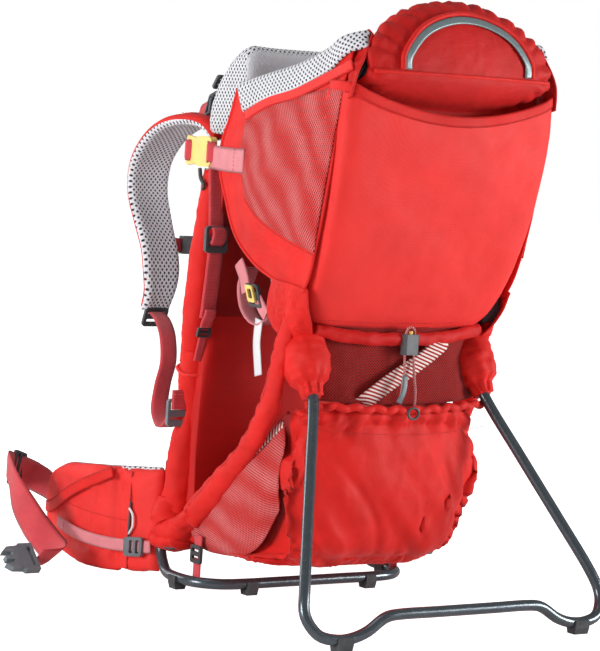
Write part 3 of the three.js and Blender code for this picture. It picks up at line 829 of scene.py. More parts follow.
# ---------- frame and kickstand ----------
FINISHES = {
    "corner_bracket": PLASTIC, "hinge_bracket": PLASTIC, "hinge_pin": STEEL, "base_foot": RUBBER,
    "kickstand_foot": RUBBER, "side_buckle": YELLOW, "side_plug": YELLOW, "back_length_lock": PLASTIC,
    "strap_lock": PLASTIC_GREY, "cord_lock_button": YELLOW, "cord_lock": PLASTIC, "harness_buckle": PLASTIC,
    "harness_button": YELLOW, "sternum": PLASTIC, "belt": PLASTIC_GREY,
}


def add_frame():
    """Smooth painted tubes along the CAD tubes' own centre lines, and finishes for the moulded parts."""
    for name, path, count, radius, body, node in (
            ("base_loop_tube", BASE_PATH, 150, BASE_R, "frame", "base_loop"),
            ("rear_arch_tube", ARCH_PATH, 120, FRAME_R, "frame", "rear_arch"),
            ("kickstand_tube", KICK_PATH, 210, KICK_R, "kickstand", "kickstand_loop")):
        put(sweep(name, spline(both(path), count), radius, TUBE, 20), body, node)
    for side, name in SIDES.items():
        for part, points in (("upright", UPRIGHT_PATH), ("side_strut", STRUT_PATH)):
            put(sweep(f"{part}_tube_{name}", curve(60, side, *points), FRAME_R, TUBE, 18), "frame", f"{part}_{name}")
    for name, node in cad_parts.items():
        found = [finish for start, finish in FINISHES.items() if name.startswith(start)]
        if not found:
            continue
        node.data.materials.clear()
        node.data.materials.append(found[0])
        round_off = node.modifiers.new("edges", "BEVEL")
        round_off.width = 0.7 * MM
        round_off.segments = 2
        round_off.limit_method = "ANGLE"
        round_off.angle_limit = math.radians(35)


# ---------- rear pocket panel ----------
# Rails across the panel, from the hem down: height, half width, how far back the middle stands, sag.
PANEL_ROWS = [(619, 146, -254, 30), (560, 145, -251, 14), (500, 143, -240, 4), (440, 140, -223, 0),
              (395, 136, -204, 0), (366, 130, -189, 0), (351, 121, -180, 1), (342, 112, -173, 3)]


def panel_rail(z, half, y, sag):
    """Round the near corner, across the back and round the far corner."""
    right = [(half * u, y + 8 * u * u, z - sag * (1 - u * u)) for u in (0.0, 0.33, 0.66, 0.88)]
    right += [(half * 0.975, y + 11, z), (half + 2, y + 19, z + 1),
              (half + 3, y + 32, z + 2), (half + 3, y + 46, z + 2)]
    return mirror(mm(*right), LEFT)[:0:-1] + mm(*right)


def add_rear_panel():
    grid = skin([panel_rail(*row) for row in PANEL_ROWS], 58, 72)
    sheet("rear_pocket", grid, RED_LIT, 1.6, "stretched", "rear_arch_tube", ["rear_panel"],
          wave=2.6 * MM, size=85 * MM, seed=3)
    hem = grid[0]
    web("pocket_hem", "frame", shifted(hem, 0, -1.2, -5), 13, RED, UP)
    sew("pocket_hem_stitch", "frame", shifted(hem, 0, -2.8, -10))
    sew("pocket_floor_stitch", "frame", shifted(grid[-3], 0, -1, 0))
    for side, column in ((LEFT, 3), (RIGHT, -4)):
        seam = shifted([row[column] for row in grid[3:-3]], side * 0.6, -0.4, 0)
        rod("pocket_edge_piping_" + SIDES[side], "frame", evenly(seam, 70), 1.5, RED, 8)
        roll = shifted([row[0 if side == LEFT else -1] for row in grid[2:-6]], -side * 2, 0, 0)
        put(tube_cover("pocket_edge_roll_" + SIDES[side], evenly(roll, 70), 5.5 * MM, RED_LIT, 0.9, 1.4 * MM, 6,
                       ACROSS, 16), "frame")


# ---------- head crown ----------
CROWN_Y, CROWN_Z = -226, 634  # mm, the middle of the hood's lower edge
CROWN_HALF, CROWN_HIGH = 130, 84  # mm, half its width and its height
ARC_HALF, ARC_HIGH, ARC_Z = 84, 58, 641  # mm, the reflective arc on its back


def crown_rise(u):
    """How full the hood stands at this share of its half width: round over the middle, never flat."""
    return 0.36 + 0.64 * max(0.0, 1 - u * u) ** 0.5


def crown_point(u, turn, grow=0.0):
    """u runs from side to side, turn from the back of the hood over its top to its open front."""
    rise = crown_rise(u)
    top = CROWN_HIGH * math.sin(turn) * rise
    back = math.cos(turn) if turn > 0 else max(0.0, math.cos(3.4 * turn))
    y = CROWN_Y - (12 + 30 * rise) * back
    out = 1 + grow / 80
    width = CROWN_HALF - 30 * smoothstep(turn, 0.5, 1.9)
    return spot(width * u * out, CROWN_Y + (y - CROWN_Y) * out, CROWN_Z + top * out)


def gathered(grid, deep, count):
    """Gathers that fan out from the reflective arc; the lid inside it stays smooth."""
    out = normals(grid)
    for i, row in enumerate(grid):
        for j, p in enumerate(row):
            x, z = p.x / (ARC_HALF * MM), (p.z - ARC_Z * MM) / (ARC_HIGH * MM)
            fan = math.atan2(z, x) * count + 2.2 * noise.noise(p * 28)
            fold = abs(math.sin(fan)) - 0.6
            crease = noise.fractal(p / (16 * MM), 0.8, 2.0, 3)
            amount = smoothstep(math.hypot(x, z), 1.1, 1.45)
            row[j] = p + out[i][j] * (deep * fold * amount + (0.6 + 1.6 * amount) * MM * crease)
    return grid


def on_crown(x, z, proud):
    """The point of the hood's back that has this x and z, in mm."""
    u = x / CROWN_HALF
    turn = math.asin(max(0.0, min(1.0, (z - CROWN_Z) / (CROWN_HIGH * crown_rise(u)))))
    return spot(x, crown_point(u, turn).y / MM - proud, z)


def hood(grow, low, high, rows, columns):
    return [[crown_point(2 * j / (columns - 1) - 1, low + (high - low) * i / (rows - 1), grow)
             for j in range(columns)] for i in range(rows)]


def add_crown():
    outer = gathered(hood(0, -0.95, 2.3, 80, 130), 4.2 * MM, 15)
    sheet("head_crown_shell", outer, RED_SHADED, 1.8, "gathered", "rear_arch_tube", ["head_crown"])
    sheet("head_crown_lining", hood(-8, -0.5, 2.25, 30, 50), FLEECE, 2.5, "stretched", "head_crown_shell")
    rod("head_crown_rim", "frame", [crown_point(2 * j / 60 - 1, 2.3, -3) for j in range(61)], 4.5, RED_SHADED, 12)
    half = [(0, 699), (33, 694), (63, 680), (84, 656), (86, 639)]
    outline = [(-x, z) for x, z in half[:0:-1]] + half
    flat_arc = spline([Vector((x, 0, z)) for x, z in outline], 90)
    arc = [on_crown(p.x, p.z, 3.6) for p in flat_arc]
    web("reflective_arc", "frame", arc, 10, TAPE, facing(0, -1, 0.55), 1.6)
    above = [on_crown(p.x * 1.075, ARC_Z + (p.z - ARC_Z) * 1.12, 3.4) for p in flat_arc]
    rod("reflective_arc_piping", "frame", above, 3, RED)
    bottom = [crown_point(0.94 * (2 * j / 69 - 1), 0.02, 1.5) for j in range(70)]
    rod("crown_seam_piping", "frame", bottom, 2.4, RED)
    for side, name in SIDES.items():
        add_crown_gusset(side, name)


def add_crown_gusset(side, name):
    """Folded fabric that closes the corner between the hood, the side wall and the rear pocket."""
    rails = [mirror(mm(*points), side) for points in (
        ((147, -246, 604), (144, -230, 600), (137, -204, 606)),
        ((142, -250, 632), (138, -230, 634), (132, -204, 632)),
        ((130, -248, 655), (128, -230, 660), (126, -204, 652)),
        ((118, -240, 676), (117, -228, 680), (117, -206, 664)))]
    sheet("crown_gusset_" + name, skin(rails, 34, 24), RED_SHADED, 1.8, "gathered", "head_crown_shell",
          wave=4.5 * MM, size=15 * MM, seed=21 + side, hold=0.2)


# ---------- cockpit sides: points are (y, z) in mm ----------
WALL_FRONT = [(-19, 606), (-6, 570), (8, 543), (10, 512), (-8, 478), (-36, 434), (-80, 404), (-124, 389)]
WALL_BACK = [(-232, 655), (-229, 618), (-226, 570), (-221, 520), (-212, 470), (-200, 428), (-190, 400), (-178, 380)]
MESH_TOP = [(-46, 570), (-92, 588), (-150, 601), (-234, 618)]
MESH_MIDDLE = [(-40, 526), (-84, 523), (-142, 520), (-218, 522)]
MESH_LOW = [(-56, 482), (-86, 461), (-138, 442), (-200, 427)]


def wall_x(y, z):
    """How far a wall stands out from the middle plane, in mm: it bellies between its edges."""
    upward, rearward = max(0, min(1, (z - 385) / 240)), max(0, min(1, (y + 250) / 270))
    belly = math.sin(math.pi * upward) * math.sin(math.pi * rearward)
    return WALL_X + 7 * belly - 10 * smoothstep(z, 600, 665)


def on_wall(points, side, proud=0.0):
    return [spot(side * (wall_x(p[0], p[1]) + proud), p[0], p[1]) for p in points]


def flat(points):
    return [Vector((y, z, 0)) for y, z in points]


def add_cockpit_side(side):
    name = SIDES[side]
    rails = [flat([f, ((f[0] + b[0]) / 2, (f[1] + b[1]) / 2), b]) for f, b in zip(WALL_FRONT, WALL_BACK)]
    sheet("cockpit_wall_" + name, [on_wall(row, side) for row in skin(rails, 44, 44)], RED, 2.2, "stretched",
          "rear_arch_tube", ["cockpit_side_" + name], wave=2.2 * MM, size=60 * MM, seed=7 + side)
    inner = [on_wall(row[1:-3], side, -7) for row in skin(rails, 24, 26)[:-2]]
    sheet("cockpit_lining_" + name, inner, FLEECE, 3, "stretched", "rear_arch_tube")

    pocket = skin([flat(rail) for rail in (MESH_TOP, MESH_MIDDLE, MESH_LOW)], 40, 54)
    folded = []
    for i, row in enumerate(pocket):
        line = []
        for j, p in enumerate(row):
            v, u = i / 39, j / 53
            inside = min(1, 6 * min(u, 1 - u, v, 1 - v))
            fold = math.sin((p.x * 0.9 + p.y * 0.75) / 21 + 1.2 * noise.noise(Vector((u * 3, v * 3, side))))
            line += on_wall([p], side, 2.5 + inside * (3 + 2.4 * fold))
        folded.append(line)
    sheet("mesh_pocket_" + name, folded, RED_MESH, 1, "stretched", "cockpit_wall_" + name)

    binding = on_wall(spline(flat([(y, z + 5) for y, z in MESH_TOP[:-1]] + [(-240, 640)]), 60), side, 3.4)
    web("wall_binding_" + name, "frame", binding, 13, RED_LIT, UP, 2.4)
    sew("wall_binding_stitch_" + name, "frame", [p + Vector((side * 1.4, 0, -5)) * MM for p in binding])

    low = on_wall([(-38, 579), (-90, 596), (-146, 609), (-196, 630), (-226, 652)], side, 2.5)
    high = on_wall([(-19, 608), (-80, 622), (-143, 637), (-190, 655), (-214, 668)], side, 0.5)
    low, high = low + mirror(mm((128, -246, 660)), side), high + mirror(mm((122, -238, 676)), side)
    collar_grid = skin([low, high, shifted(high, -side * 13, 0, -6)], 22, 70)
    put(pad("cockpit_collar_" + name, collar_grid, 9 * MM, AIR_MESH, AIR_MESH, rounding=6 * MM), "frame", fill=0.5)

    strap = on_wall([(30, 524), (14, 523), (-8, 522), (-36, 522), (-52, 522)], side, 4)
    web("side_strap_" + name, "frame", spline(strap, 40), 29, WEBBING_PALE, UP)
    sew("side_strap_stitch_" + name, "frame", spline(on_wall([(-30, 509), (-30, 537)], side, 5.6), 10), THREAD_PALE)

    rod("wall_front_piping_" + name, "frame", on_wall(spline(flat(WALL_FRONT), 70), side, 0.5), 2.2, RED)
    foot = spline(flat([(-124, 389), (-152, 383), (-176, 381), (-184, 384)]), 30)
    rod("wall_lower_piping_" + name, "frame", on_wall(foot, side, 0.5), 2.4, RED)
    lower = spline(flat([(y, z - 3) for y, z in MESH_LOW]), 40)
    sew("pocket_low_stitch_" + name, "frame", on_wall(lower, side, 3.2))


# ---------- padded back, neck pad and lumbar pad ----------
BACK_PROFILE = [(92, 62), (97, 110), (95, 175), (82, 300), (67, 400), (56, 500), (50, 526), (18, 526), (20, 500),
                (33, 400), (41, 300), (49, 170), (50, 62)]
NECK_PROFILE = [(12, 531), (48, 553), (84, 558), (90, 580), (78, 612), (52, 642), (22, 660), (7, 660), (1, 640),
                (1, 560), (2, 500), (3, 442), (11, 442), (12, 490)]
COVER_SHADE_SPLIT = 0.33  # m, height where the cover's child side turns from the lighter painted shade below to the deep painted shade above


def loft(rings):
    """Faces between closed rings of points that follow one another, and the two caps."""
    stations, count = len(rings), len(rings[0])
    sides = []
    for i in range(stations - 1):
        for k in range(count):
            n = (k + 1) % count
            sides.append((i * count + k, (i + 1) * count + k, (i + 1) * count + n, i * count + n))
    return sides + [tuple(range(count)), tuple((stations - 1) * count + k for k in range(count - 1, -1, -1))]


def bolster(name, profile, half, round_end, materials, pick, count, stations=21):
    """A stuffed block: a closed profile in the Y-Z plane run from side to side, with rounded ends."""
    ring = spline([spot(0, y, z) for y, z in profile + profile[:1]], count + 1)[:-1]
    middle = sum(ring, Vector()) / count
    rings, uvs = [], []
    for i in range(stations):
        x = -math.cos(math.pi * i / (stations - 1)) * half * MM
        gone = max(0.0, abs(x) - (half - round_end) * MM) / (round_end * MM)
        full = math.sqrt(max(0.0, 1 - gone * gone))
        run = 0.0
        line = []
        for k, p in enumerate(ring):
            inward = middle - p
            reach = min(inward.length * 0.95, round_end * MM * (1 - full))
            line.append(Vector((x, p.y, p.z)) + inward.normalized() * reach)
            run += (p - ring[k - 1]).length
            uvs.append((x, run))
        rings.append(line)
    around = [pick((p + q) / 2, (q - p).normalized()) for p, q in zip(ring, ring[1:] + ring[:1])]
    picks = around * (stations - 1) + around[:1] * 2
    made = build(name, [p for line in rings for p in line], loft(rings), uvs, materials, picks)
    layer, corners = made.data.uv_layers[0].data, made.data.loops
    for face in made.data.polygons:
        if abs(face.normal.x) > 0.8:
            for k in face.loop_indices:
                corner = made.data.vertices[corners[k].vertex_index].co
                layer[k].uv = (corner.y, corner.z)
    return made


def back_face(p, along):
    """The wearer's side is air mesh; the child's side is red fabric in painted shade, deep above the split and
    lighter below it.
    """
    if p.y > 0.05 and abs(along.z) > 0.8 and p.y > 0.092 - (p.z - 0.1) * 0.085:
        return 1
    return 2 if p.z < COVER_SHADE_SPLIT else 0


def neck_face(p, along):
    return 0 if p.y < 0.006 else 1


def add_back():
    panel = bolster("back_panel_cover", BACK_PROFILE, 133, 9, [RED_DEEP_SHADE, AIR_MESH, RED_SHADED], back_face, 90)
    put(panel, "frame", "back_panel", fill=0.4)
    neck = bolster("neck_cushion", NECK_PROFILE, 125, 16, [FLEECE, AIR_MESH], neck_face, 80)
    puff(neck, lambda p: p.z < 0.535, 2.0, 0.0, 5 * MM)
    put(neck, "frame", "neck_pad", fill=0.7)
    for side, name in SIDES.items():
        for k, (y, z, lean) in enumerate(((93, 585, (0, 0.15, -0.99)), (84, 613, (0, 0.62, -0.78)))):
            buckle(f"neck_tension_lock_{name}_{k}", "frame", (24, 20, 3), 4, PLASTIC, spot(side * 104, y, z),
                   ACROSS, lean, [(16, 3, 0, 4), (16, 3, 0, -4)])
    rows = [[spot(136 * u, 110 + 9 * math.sin(math.pi * v) * (1 - u * u), 70 + (120 - 46 * abs(u) ** 3) * v)
             for u in (-1, -0.6, -0.2, 0.2, 0.6, 1)] for v in (0, 0.25, 0.5, 0.75, 1.0)]
    lumbar = pad("lumbar_cushion", skin(rows, 26, 60), 17 * MM, RED_DEEP_SHADE, AIR_MESH, rounding=12 * MM,
                 quilt=((0.5, "row"), (0.5, "column")))
    put(lumbar, "frame", "lumbar_pad", fill=0.6)


# ---------- shoulder harness ----------
STRAP_PATH = [(88, 84, 543), (90, 108, 560), (91, 150, 564), (91, 195, 557), (90, 235, 538), (90, 264, 506),
              (90, 268, 470), (90, 250, 432), (90, 228, 392), (90, 222, 352), (90, 233, 320)]


def strap_grid(points, width, rows, columns, bow=0.0):
    """A wide strap's middle surface: narrower at its ends and bowed across."""
    path = spline(points, rows)
    made = []
    for i, p in enumerate(path):
        share = i / (rows - 1)
        half = width / 2 * (0.86 + 0.14 * math.sin(math.pi * min(1, share * 1.3)))
        half *= 1 - 0.25 * smoothstep(share, 0.85, 1.0)
        out = tangent(path, i).cross(ACROSS).normalized()
        made.append([p + ACROSS * half * u + out * bow * (1 - u * u)
                     for u in [2 * j / (columns - 1) - 1 for j in range(columns)]])
    return made


def add_shoulder_harness():
    harness = "shoulder_harness"
    yoke_rows = [[spot(104 * u, 77 - 9 * v, 466 + 68 * v) for u in (-1, -0.5, 0, 0.5, 1)] for v in (0, 0.35, 0.7, 1)]
    yoke = pad("yoke_pad", skin(yoke_rows, 22, 56), 12 * MM, AIR_MESH, RED)
    put(yoke, harness, "shoulder_yoke", fill=0.5)
    for side, name in SIDES.items():
        points = mirror(mm(*STRAP_PATH), side)
        grid = strap_grid(points, 62 * MM, 110, 22, 2 * MM * side)
        strap = pad("shoulder_pad_" + name, grid, 14 * MM, RED, AIR_MESH, edge=AIR_MESH, rounding=9 * MM)
        put(strap, harness, "shoulder_strap_" + name, fill=0.6)
        path = spline(points, 120)
        lifted = [p + tangent(path, i).cross(ACROSS).normalized() * -8.6 * MM for i, p in enumerate(path)]
        web("strap_spine_" + name, harness, lifted[26:112], 25)
        for k, edge in ((0, -0.34), (1, 0.34)):
            line = [p + ACROSS * edge * 54 * MM + (q - p) * 0.86 for p, q in zip(path[6:112], lifted[6:112])]
            sew(f"strap_seam_{name}_{k}", harness, line, THREAD_PALE)
        add_strap_tail(side, path[-1])
        add_load_lifter(side)


def span(name, path, across, reach):
    """Webbing that bends between the shoulder harness and the frame; reach is not used."""
    strap = ribbon(name, path, 24 * MM, WEB_T, WEBBING, across)
    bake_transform(strap)


def add_strap_tail(side, end):
    """The adjuster under a strap's end and the webbing down to the frame's ladder lock."""
    name = SIDES[side]
    buckle("strap_adjuster_" + name, "shoulder_harness", (34, 26, 4), 4.5, PLASTIC, end + spot(0, -1, -9), ACROSS,
           (0, -0.35, 0.94), [(25, 4, 0, 6), (25, 5, 0, -5)])
    low = curve(90, side, (90, 232, 318), (95, 206, 310), (103, 178, 292), (109, 163, 262), (114, 165, 232),
                (122, 156, 202), (133, 124, 186), (144, 92, 196), (148, 77, 206))
    span("lower_strap_web_" + name, low, ACROSS, 12)
    web("lower_lock_tab_" + name, "frame", spline([spot(side * 148, 69, z) for z in (238, 226, 214)], 12), 22)
    sew("lower_lock_stitch_" + name, "frame", mm((side * 138, 67, 233), (side * 158, 67, 233)), THREAD_PALE)


def add_load_lifter(side):
    """The short strap from the neck pad down to the shoulder strap's crest, with its tri-glide."""
    name = SIDES[side]
    path = curve(50, side, (92, 152, 574), (92, 128, 583), (92, 106, 592), (94, 92, 600), (96, 87, 607))
    lean = Vector((side * 0.42, -0.34, -0.84))
    span("load_lifter_" + name, path, lean, 6)
    buckle("load_lifter_glide_" + name, "shoulder_harness", (32, 20, 3), 4, PLASTIC,
           path[20] + spot(side * 1.4, 0, 1.5), lean, tangent(path, 20), [(24, 4, 0, 4.5), (24, 4, 0, -4.5)])
    web("load_lifter_anchor_" + name, "shoulder_harness",
        curve(20, side, (92, 158, 573), (92, 175, 571), (91, 195, 566)), 25)
    sew("load_lifter_stitch_" + name, "shoulder_harness", mirror(mm((82, 180, 572.5), (102, 180, 572.5)), side),
        THREAD_PALE)


def add_sternum():
    """The chest strap between the shoulder straps, out of its buckle's two halves."""
    for side, start in ((LEFT, 54), (RIGHT, 52)):
        name = SIDES[side]
        line = curve(24, side, (start, 238, 403), (60, 239, 403), (68, 240, 404), (90, 243, 405))
        web("sternum_web_" + name, "sternum_" + name, line, 18, across=UP, thickness=1.8)
        buckle("sternum_slider_" + name, "sternum_" + name, (20, 30, 3), 4, PLASTIC, spot(side * 90, 251, 405),
               ACROSS, (0, 0.4, 0.92), [(13, 5, 0, 0)])


# ---------- back-length webbing beside the cockpit ----------
# Name, width, how much further out than the rest, and points (y, z), in mm.
LENGTH_STRAPS = [("length_strap_top", 22, 0, [(33, 512), (29, 480), (26, 452), (25, 438)]),
                 ("length_strap_bar", 21, 0, [(24.5, 441), (17, 437), (15.5, 430), (19, 422), (24, 415)]),
                 ("length_strap", 22, 0, [(21, 432), (23, 412), (27, 372), (31, 340), (33, 330)]),
                 ("length_strap_tail", 12, -1, [(34, 352), (36, 325), (43, 300), (50, 276)]),
                 ("length_strap_fold", 17, 0.5, [(24, 340), (26, 333), (31, 326), (34, 318)])]


def add_side_webbing(side):
    name = SIDES[side]
    x = side * 139
    for label, width, out, points in LENGTH_STRAPS:
        web(f"{label}_{name}", "frame", spline([spot(x + side * out, y, z) for y, z in points], 40), width)
    for k, z in enumerate((336, 345)):
        sew(f"length_strap_stitch_{name}_{k}", "frame", [spot(x + d, 27.5, z) for d in (-10, 10)])
    buckle("length_glide_" + name, "frame", (19, 13, 2.5), 3.6, PLASTIC, spot(x, 38, 312), ACROSS, (0, 0.25, -0.97),
           [(12, 2.6, 0, 3), (12, 2.6, 0, -3)])
    for k, (y, body) in enumerate(((27, "frame"), (76, "entry_" + name))):
        bar = curve(16, side, (150, y - 7, 529), (155.5, y - 1, 529), (155.5, y + 2, 529), (150, y + 8, 529))
        web(f"buckle_web_{name}_{k}", body, bar, 25, across=UP)
    pull = curve(20, side, (146, 80, 520), (140, 90, 528), (128, 98, 530), (118, 92, 528))
    web("buckle_tether_" + name, "entry_" + name, pull, 20, across=UP)
    hook = curve(24, side, (150, 52, 508), (151, 47, 497), (150, 41, 489), (149, 45, 483))
    put(sweep("buckle_pull_" + name, hook, [2.4 * MM] * 18 + [1.8 * MM] * 6, PLASTIC, 10), "frame")


# ---------- upright covers ----------
def tube_cover(name, path, radius, material, flat, crease, seed, across=None, sides=28):
    """Fabric wrapped round a tube: an oval sleeve with slanting creases."""
    made = sweep(name, path, radius, material, sides, flat, across)
    for v in made.data.vertices:
        push = noise.fractal(v.co / (16 * MM) + Vector((seed, 0, v.co.z * 20)), 0.9, 2.0, 3)
        nearest = min(path, key=lambda p: (p - v.co).length_squared)
        v.co += (v.co - nearest).normalized() * push * crease
    made.data.update()
    return made


def add_upright_cover(side):
    """Padded cover down one edge of the back panel, its mesh edge, hem and lower sleeve, and the corner's covers."""
    name = SIDES[side]
    top = curve(60, side, (131, 46, 506), (132, 52, 440), (133, 60, 370), (133, 68, 300), (132, 73, 272))
    radii = [(13 + 4 * math.sin(math.pi * i / 59)) * MM for i in range(60)]
    put(tube_cover("upright_pad_" + name, top, radii, RED, 1.15, 1.3 * MM, 2), "frame", fill=0.5)
    rod("upright_mesh_edge_" + name, "frame", shifted(top, side * 2, 15, 2), 4.2, AIR_MESH, 12)
    low = curve(50, side, (131, 68, 288), (131, 73, 240), (132, 77, 180), (134, 79, 120), (137, 82, 74))
    waist = [math.exp(-(((p.z / MM - 212) / 24) ** 2)) for p in low]
    low = [p - Vector((side * 5 * pull, 0, 0)) * MM for p, pull in zip(low, waist)]
    radii = [(15 + 3 * i / 49 - 4 * pull) * MM for i, pull in enumerate(waist)]
    put(tube_cover("upright_sleeve_" + name, low, radii, RED, 1.1, 1.6 * MM, 5), "frame")
    hem = curve(40, side, (119, 58, 262), (134, 55, 258), (147, 64, 258), (147, 80, 264), (134, 90, 268))
    rod("upright_hem_" + name, "frame", hem, 2.2, RED_LIT, 8)
    corner = curve(40, side, (139, 88, 104), (140, 84, 82), (141, 76, 66), (143, 56, 70), (143, 24, 94))
    radii = [(19 + 9 * math.sin(math.pi * min(1, i / 26)) - 4 * i / 39) * MM for i in range(40)]
    put(tube_cover("corner_cover_" + name, corner, radii, RED, 0.8, 3.2 * MM, 9, ACROSS), "frame")
    wrap = curve(40, side, (135, 109, 54), (136, 92, 52), (136, 70, 52), (136, 51, 56))
    radii = [(24 + 5 * math.sin(math.pi * i / 39)) * MM for i in range(40)]
    put(tube_cover("corner_wrap_" + name, wrap, radii, RED, 0.46, 2.4 * MM, 12, ACROSS), "frame")


# ---------- side strut band and kickstand cuffs ----------
CUFF_RADII = [19, 23, 26, 28, 29, 28, 24, 14, 12]  # mm, from the cuff's top to its drawn-in end
CUFF_STATIONS = 46


def add_strut_band(side):
    """Fabric round a side strut, and the folded gusset over the kickstand's hinge."""
    name = SIDES[side]
    path = curve(110, side, (144, 30, 90), (141, -12, 128), (142, -82, 192), (143.5, -123, 252), (143.5, -138, 312),
                 (141, -149, 352))
    radii = [(17 - 5 * i / 109 + 1.2 * math.sin(i / 9)) * MM for i in range(110)]
    put(tube_cover("strut_band_" + name, path, radii, RED, 0.72, 1.6 * MM, 3, Vector((0, 0.76, 0.65))), "frame")
    out = [p + Vector((side * (0.66 * radii[i] + 0.2 * MM), 0, 0)) + spot(0, 4, 5) for i, p in enumerate(path)]
    sew("strut_band_stitch_" + name, "frame", out[4:-4])
    rails = [mirror(mm(*points), side) for points in (
        ((149, -118, 392), (150, -140, 390), (150, -166, 388), (147, -186, 384)),
        ((150, -112, 368), (151, -134, 366), (150, -160, 362), (141, -182, 362)),
        ((149, -112, 350), (149, -132, 344), (145, -156, 338), (131, -176, 344)),
        ((143, -116, 334), (141, -132, 326), (136, -150, 320), (122, -166, 330)))]
    put(cloth("hinge_gusset_" + name, skin(rails, 34, 46), RED, 1.8 * MM, 4 * MM, 15 * MM, 11, 0.2), "frame")


def add_kick_cuff(side):
    """Loose fabric cuff round the top of a kickstand leg, drawn in round the tube at its lower end."""
    name = SIDES[side]
    path = curve(CUFF_STATIONS, side, (119, -140, 338), (119, -146, 322), (121, -157, 298), (123, -168, 278),
                 (125, -178, 262))
    radii = []
    for i in range(CUFF_STATIONS):
        t = i / (CUFF_STATIONS - 1) * (len(CUFF_RADII) - 1)
        k = min(int(t), len(CUFF_RADII) - 2)
        radii.append((CUFF_RADII[k] + (CUFF_RADII[k + 1] - CUFF_RADII[k]) * smoothstep(t - k, 0, 1)) * MM)
    cuff = sweep("kickstand_cuff_" + name, path, radii, RED, 48, 0.9)
    for v in cuff.data.vertices:
        nearest = min(range(CUFF_STATIONS), key=lambda i: (path[i] - v.co).length_squared)
        out = (v.co - path[nearest]).normalized()
        turn = math.atan2(out.y, out.x)
        tight = smoothstep(nearest / (CUFF_STATIONS - 1), 0.45, 0.8)
        fold = math.sin(turn * 9 + 2 * noise.noise(v.co * 60)) * 1.6 * MM * tight
        v.co += out * (fold + 3.4 * MM * noise.fractal(v.co / (26 * MM), 0.9, 2, 3) * (1 - tight * 0.6))
    cuff.data.update()
    put(cuff, "kickstand", "kickstand_sleeve_" + name)
    ring = [path[40] + spot(math.cos(a) * 10, math.sin(a) * 10, math.sin(a) * -4)
            for a in [math.tau * k / 30 for k in range(31)]]
    rod("kickstand_cuff_elastic_" + name, "kickstand", ring, 1.6, THREAD, 8, capped=False)


# ---------- lower bag ----------
BAG_PROFILE = [(-194, 246), (-197, 190), (-193, 122), (-176, 72), (-140, 54), (-60, 48), (52, 47), (44, 62),
               (-18, 110), (-90, 172), (-130, 224), (-160, 252)]
BAG_STATIONS, BAG_COUNT = 90, 150
BAG_Y, BAG_Z = -62, 128  # mm, what the bag's rounded ends draw in towards
BAG_HEM_Z = 246  # mm


def bag_half(z):
    """Half the bag's width at this height, in mm: it narrows upwards and leaves room for the folded kickstand."""
    return 138 - 0.30 * max(0.0, z - 168)


def add_lower_bag():
    """The luggage bag under the seat: a sagging wedge with long soft folds and a gathered top."""
    ring = spline([Vector((0, y, z)) for y, z in BAG_PROFILE + BAG_PROFILE[:1]], BAG_COUNT + 1)[:-1]
    grid, uvs = [], []
    for i in range(BAG_STATIONS):
        share = -math.cos(math.pi * i / (BAG_STATIONS - 1))
        share = 0.55 * share + 0.45 * (2 * i / (BAG_STATIONS - 1) - 1)
        ends = max(0.0, (abs(share) - 0.42) / 0.58)
        scale = 0.58 + 0.42 * math.sqrt(max(0.0, 1 - ends * ends))
        line, run = [], 0.0
        for p in ring:
            low = 0.84 + 0.16 * smoothstep(p.z, 60, 190)
            y = BAG_Y + (p.y - BAG_Y) * (scale if p.y < BAG_Y else 1)
            z = BAG_Z + (p.z - BAG_Z) * (0.7 + 0.3 * scale)
            wide = 1 if p.z > 190 else low + (1 - low) * (p.y > -100)
            line.append(spot(bag_half(z) * share * wide, y, z))
            run += (line[-1] - line[-2]).length if len(line) > 1 else 0
            uvs.append((line[-1].x, run))
        grid.append(line)
    bag = build("luggage_bag", [p for line in grid for p in line], loft(grid), uvs, [RED])
    puff(bag, lambda p: p.z > 0.236 or p.y > 0.02 or abs(p.x) > 0.133 or p.z < 0.052, 2.0, 0.10, 9 * MM)
    for v in bag.data.vertices:
        x, y, z = v.co / MM
        rearward = smoothstep(-y, 110, 190)
        gather = math.exp(-(((z - BAG_HEM_Z) / 26) ** 2))
        run, rise = x * 0.78 + z * 0.62, z * 0.78 - x * 0.62
        drape = noise.fractal(Vector((run / 62, rise / 260, y / 200 + 3)), 0.5, 2.0, 2)
        long_fold = max(-2.2, 1.4 - 6.0 * abs(drape))
        tuck = math.sin(x / 4.6 + 2.0 * noise.noise(v.co * 30))
        crumple = noise.fractal(v.co / (30 * MM), 0.85, 2.1, 4)
        side_on = smoothstep(abs(x), 118, 134)
        v.co += v.normal * (rearward * (2.9 * long_fold * (1 - gather) + 2.2 * tuck * gather) + 1.6 * crumple
                            + side_on * 2.2 * long_fold) * MM
    bag.data.update()
    put(bag, "frame", "lower_bag", fill=0.35)
    hem = spline(mm((-128, -172, 250), (-90, -190, 250), (-40, -199, 248), (0, -201, 247), (40, -199, 248),
                    (90, -190, 250), (128, -172, 250)), 120)
    hem = [p + spot(0, math.sin(i * 0.9) * 1.2, math.sin(i * 0.53) * 1.6) for i, p in enumerate(hem)]
    rod("bag_drawcord_hem", "frame", hem, 4.6, RED, 14, 0.8)
    eyelet = [spot(0, -206, 244) + spot(math.cos(a) * 7.5, 0, math.sin(a) * 6.5)
              for a in [math.tau * k / 28 for k in range(29)]]
    rod("bag_grommet", "frame", eyelet, 1.5, PLASTIC, capped=False)
    seam = spline(mm((-128, -178, 224), (-64, -199, 221), (0, -202, 219), (64, -199, 221), (128, -178, 224)), 90)
    sew("bag_hem_stitch", "frame", shifted(seam, 0, -1.5, 0))


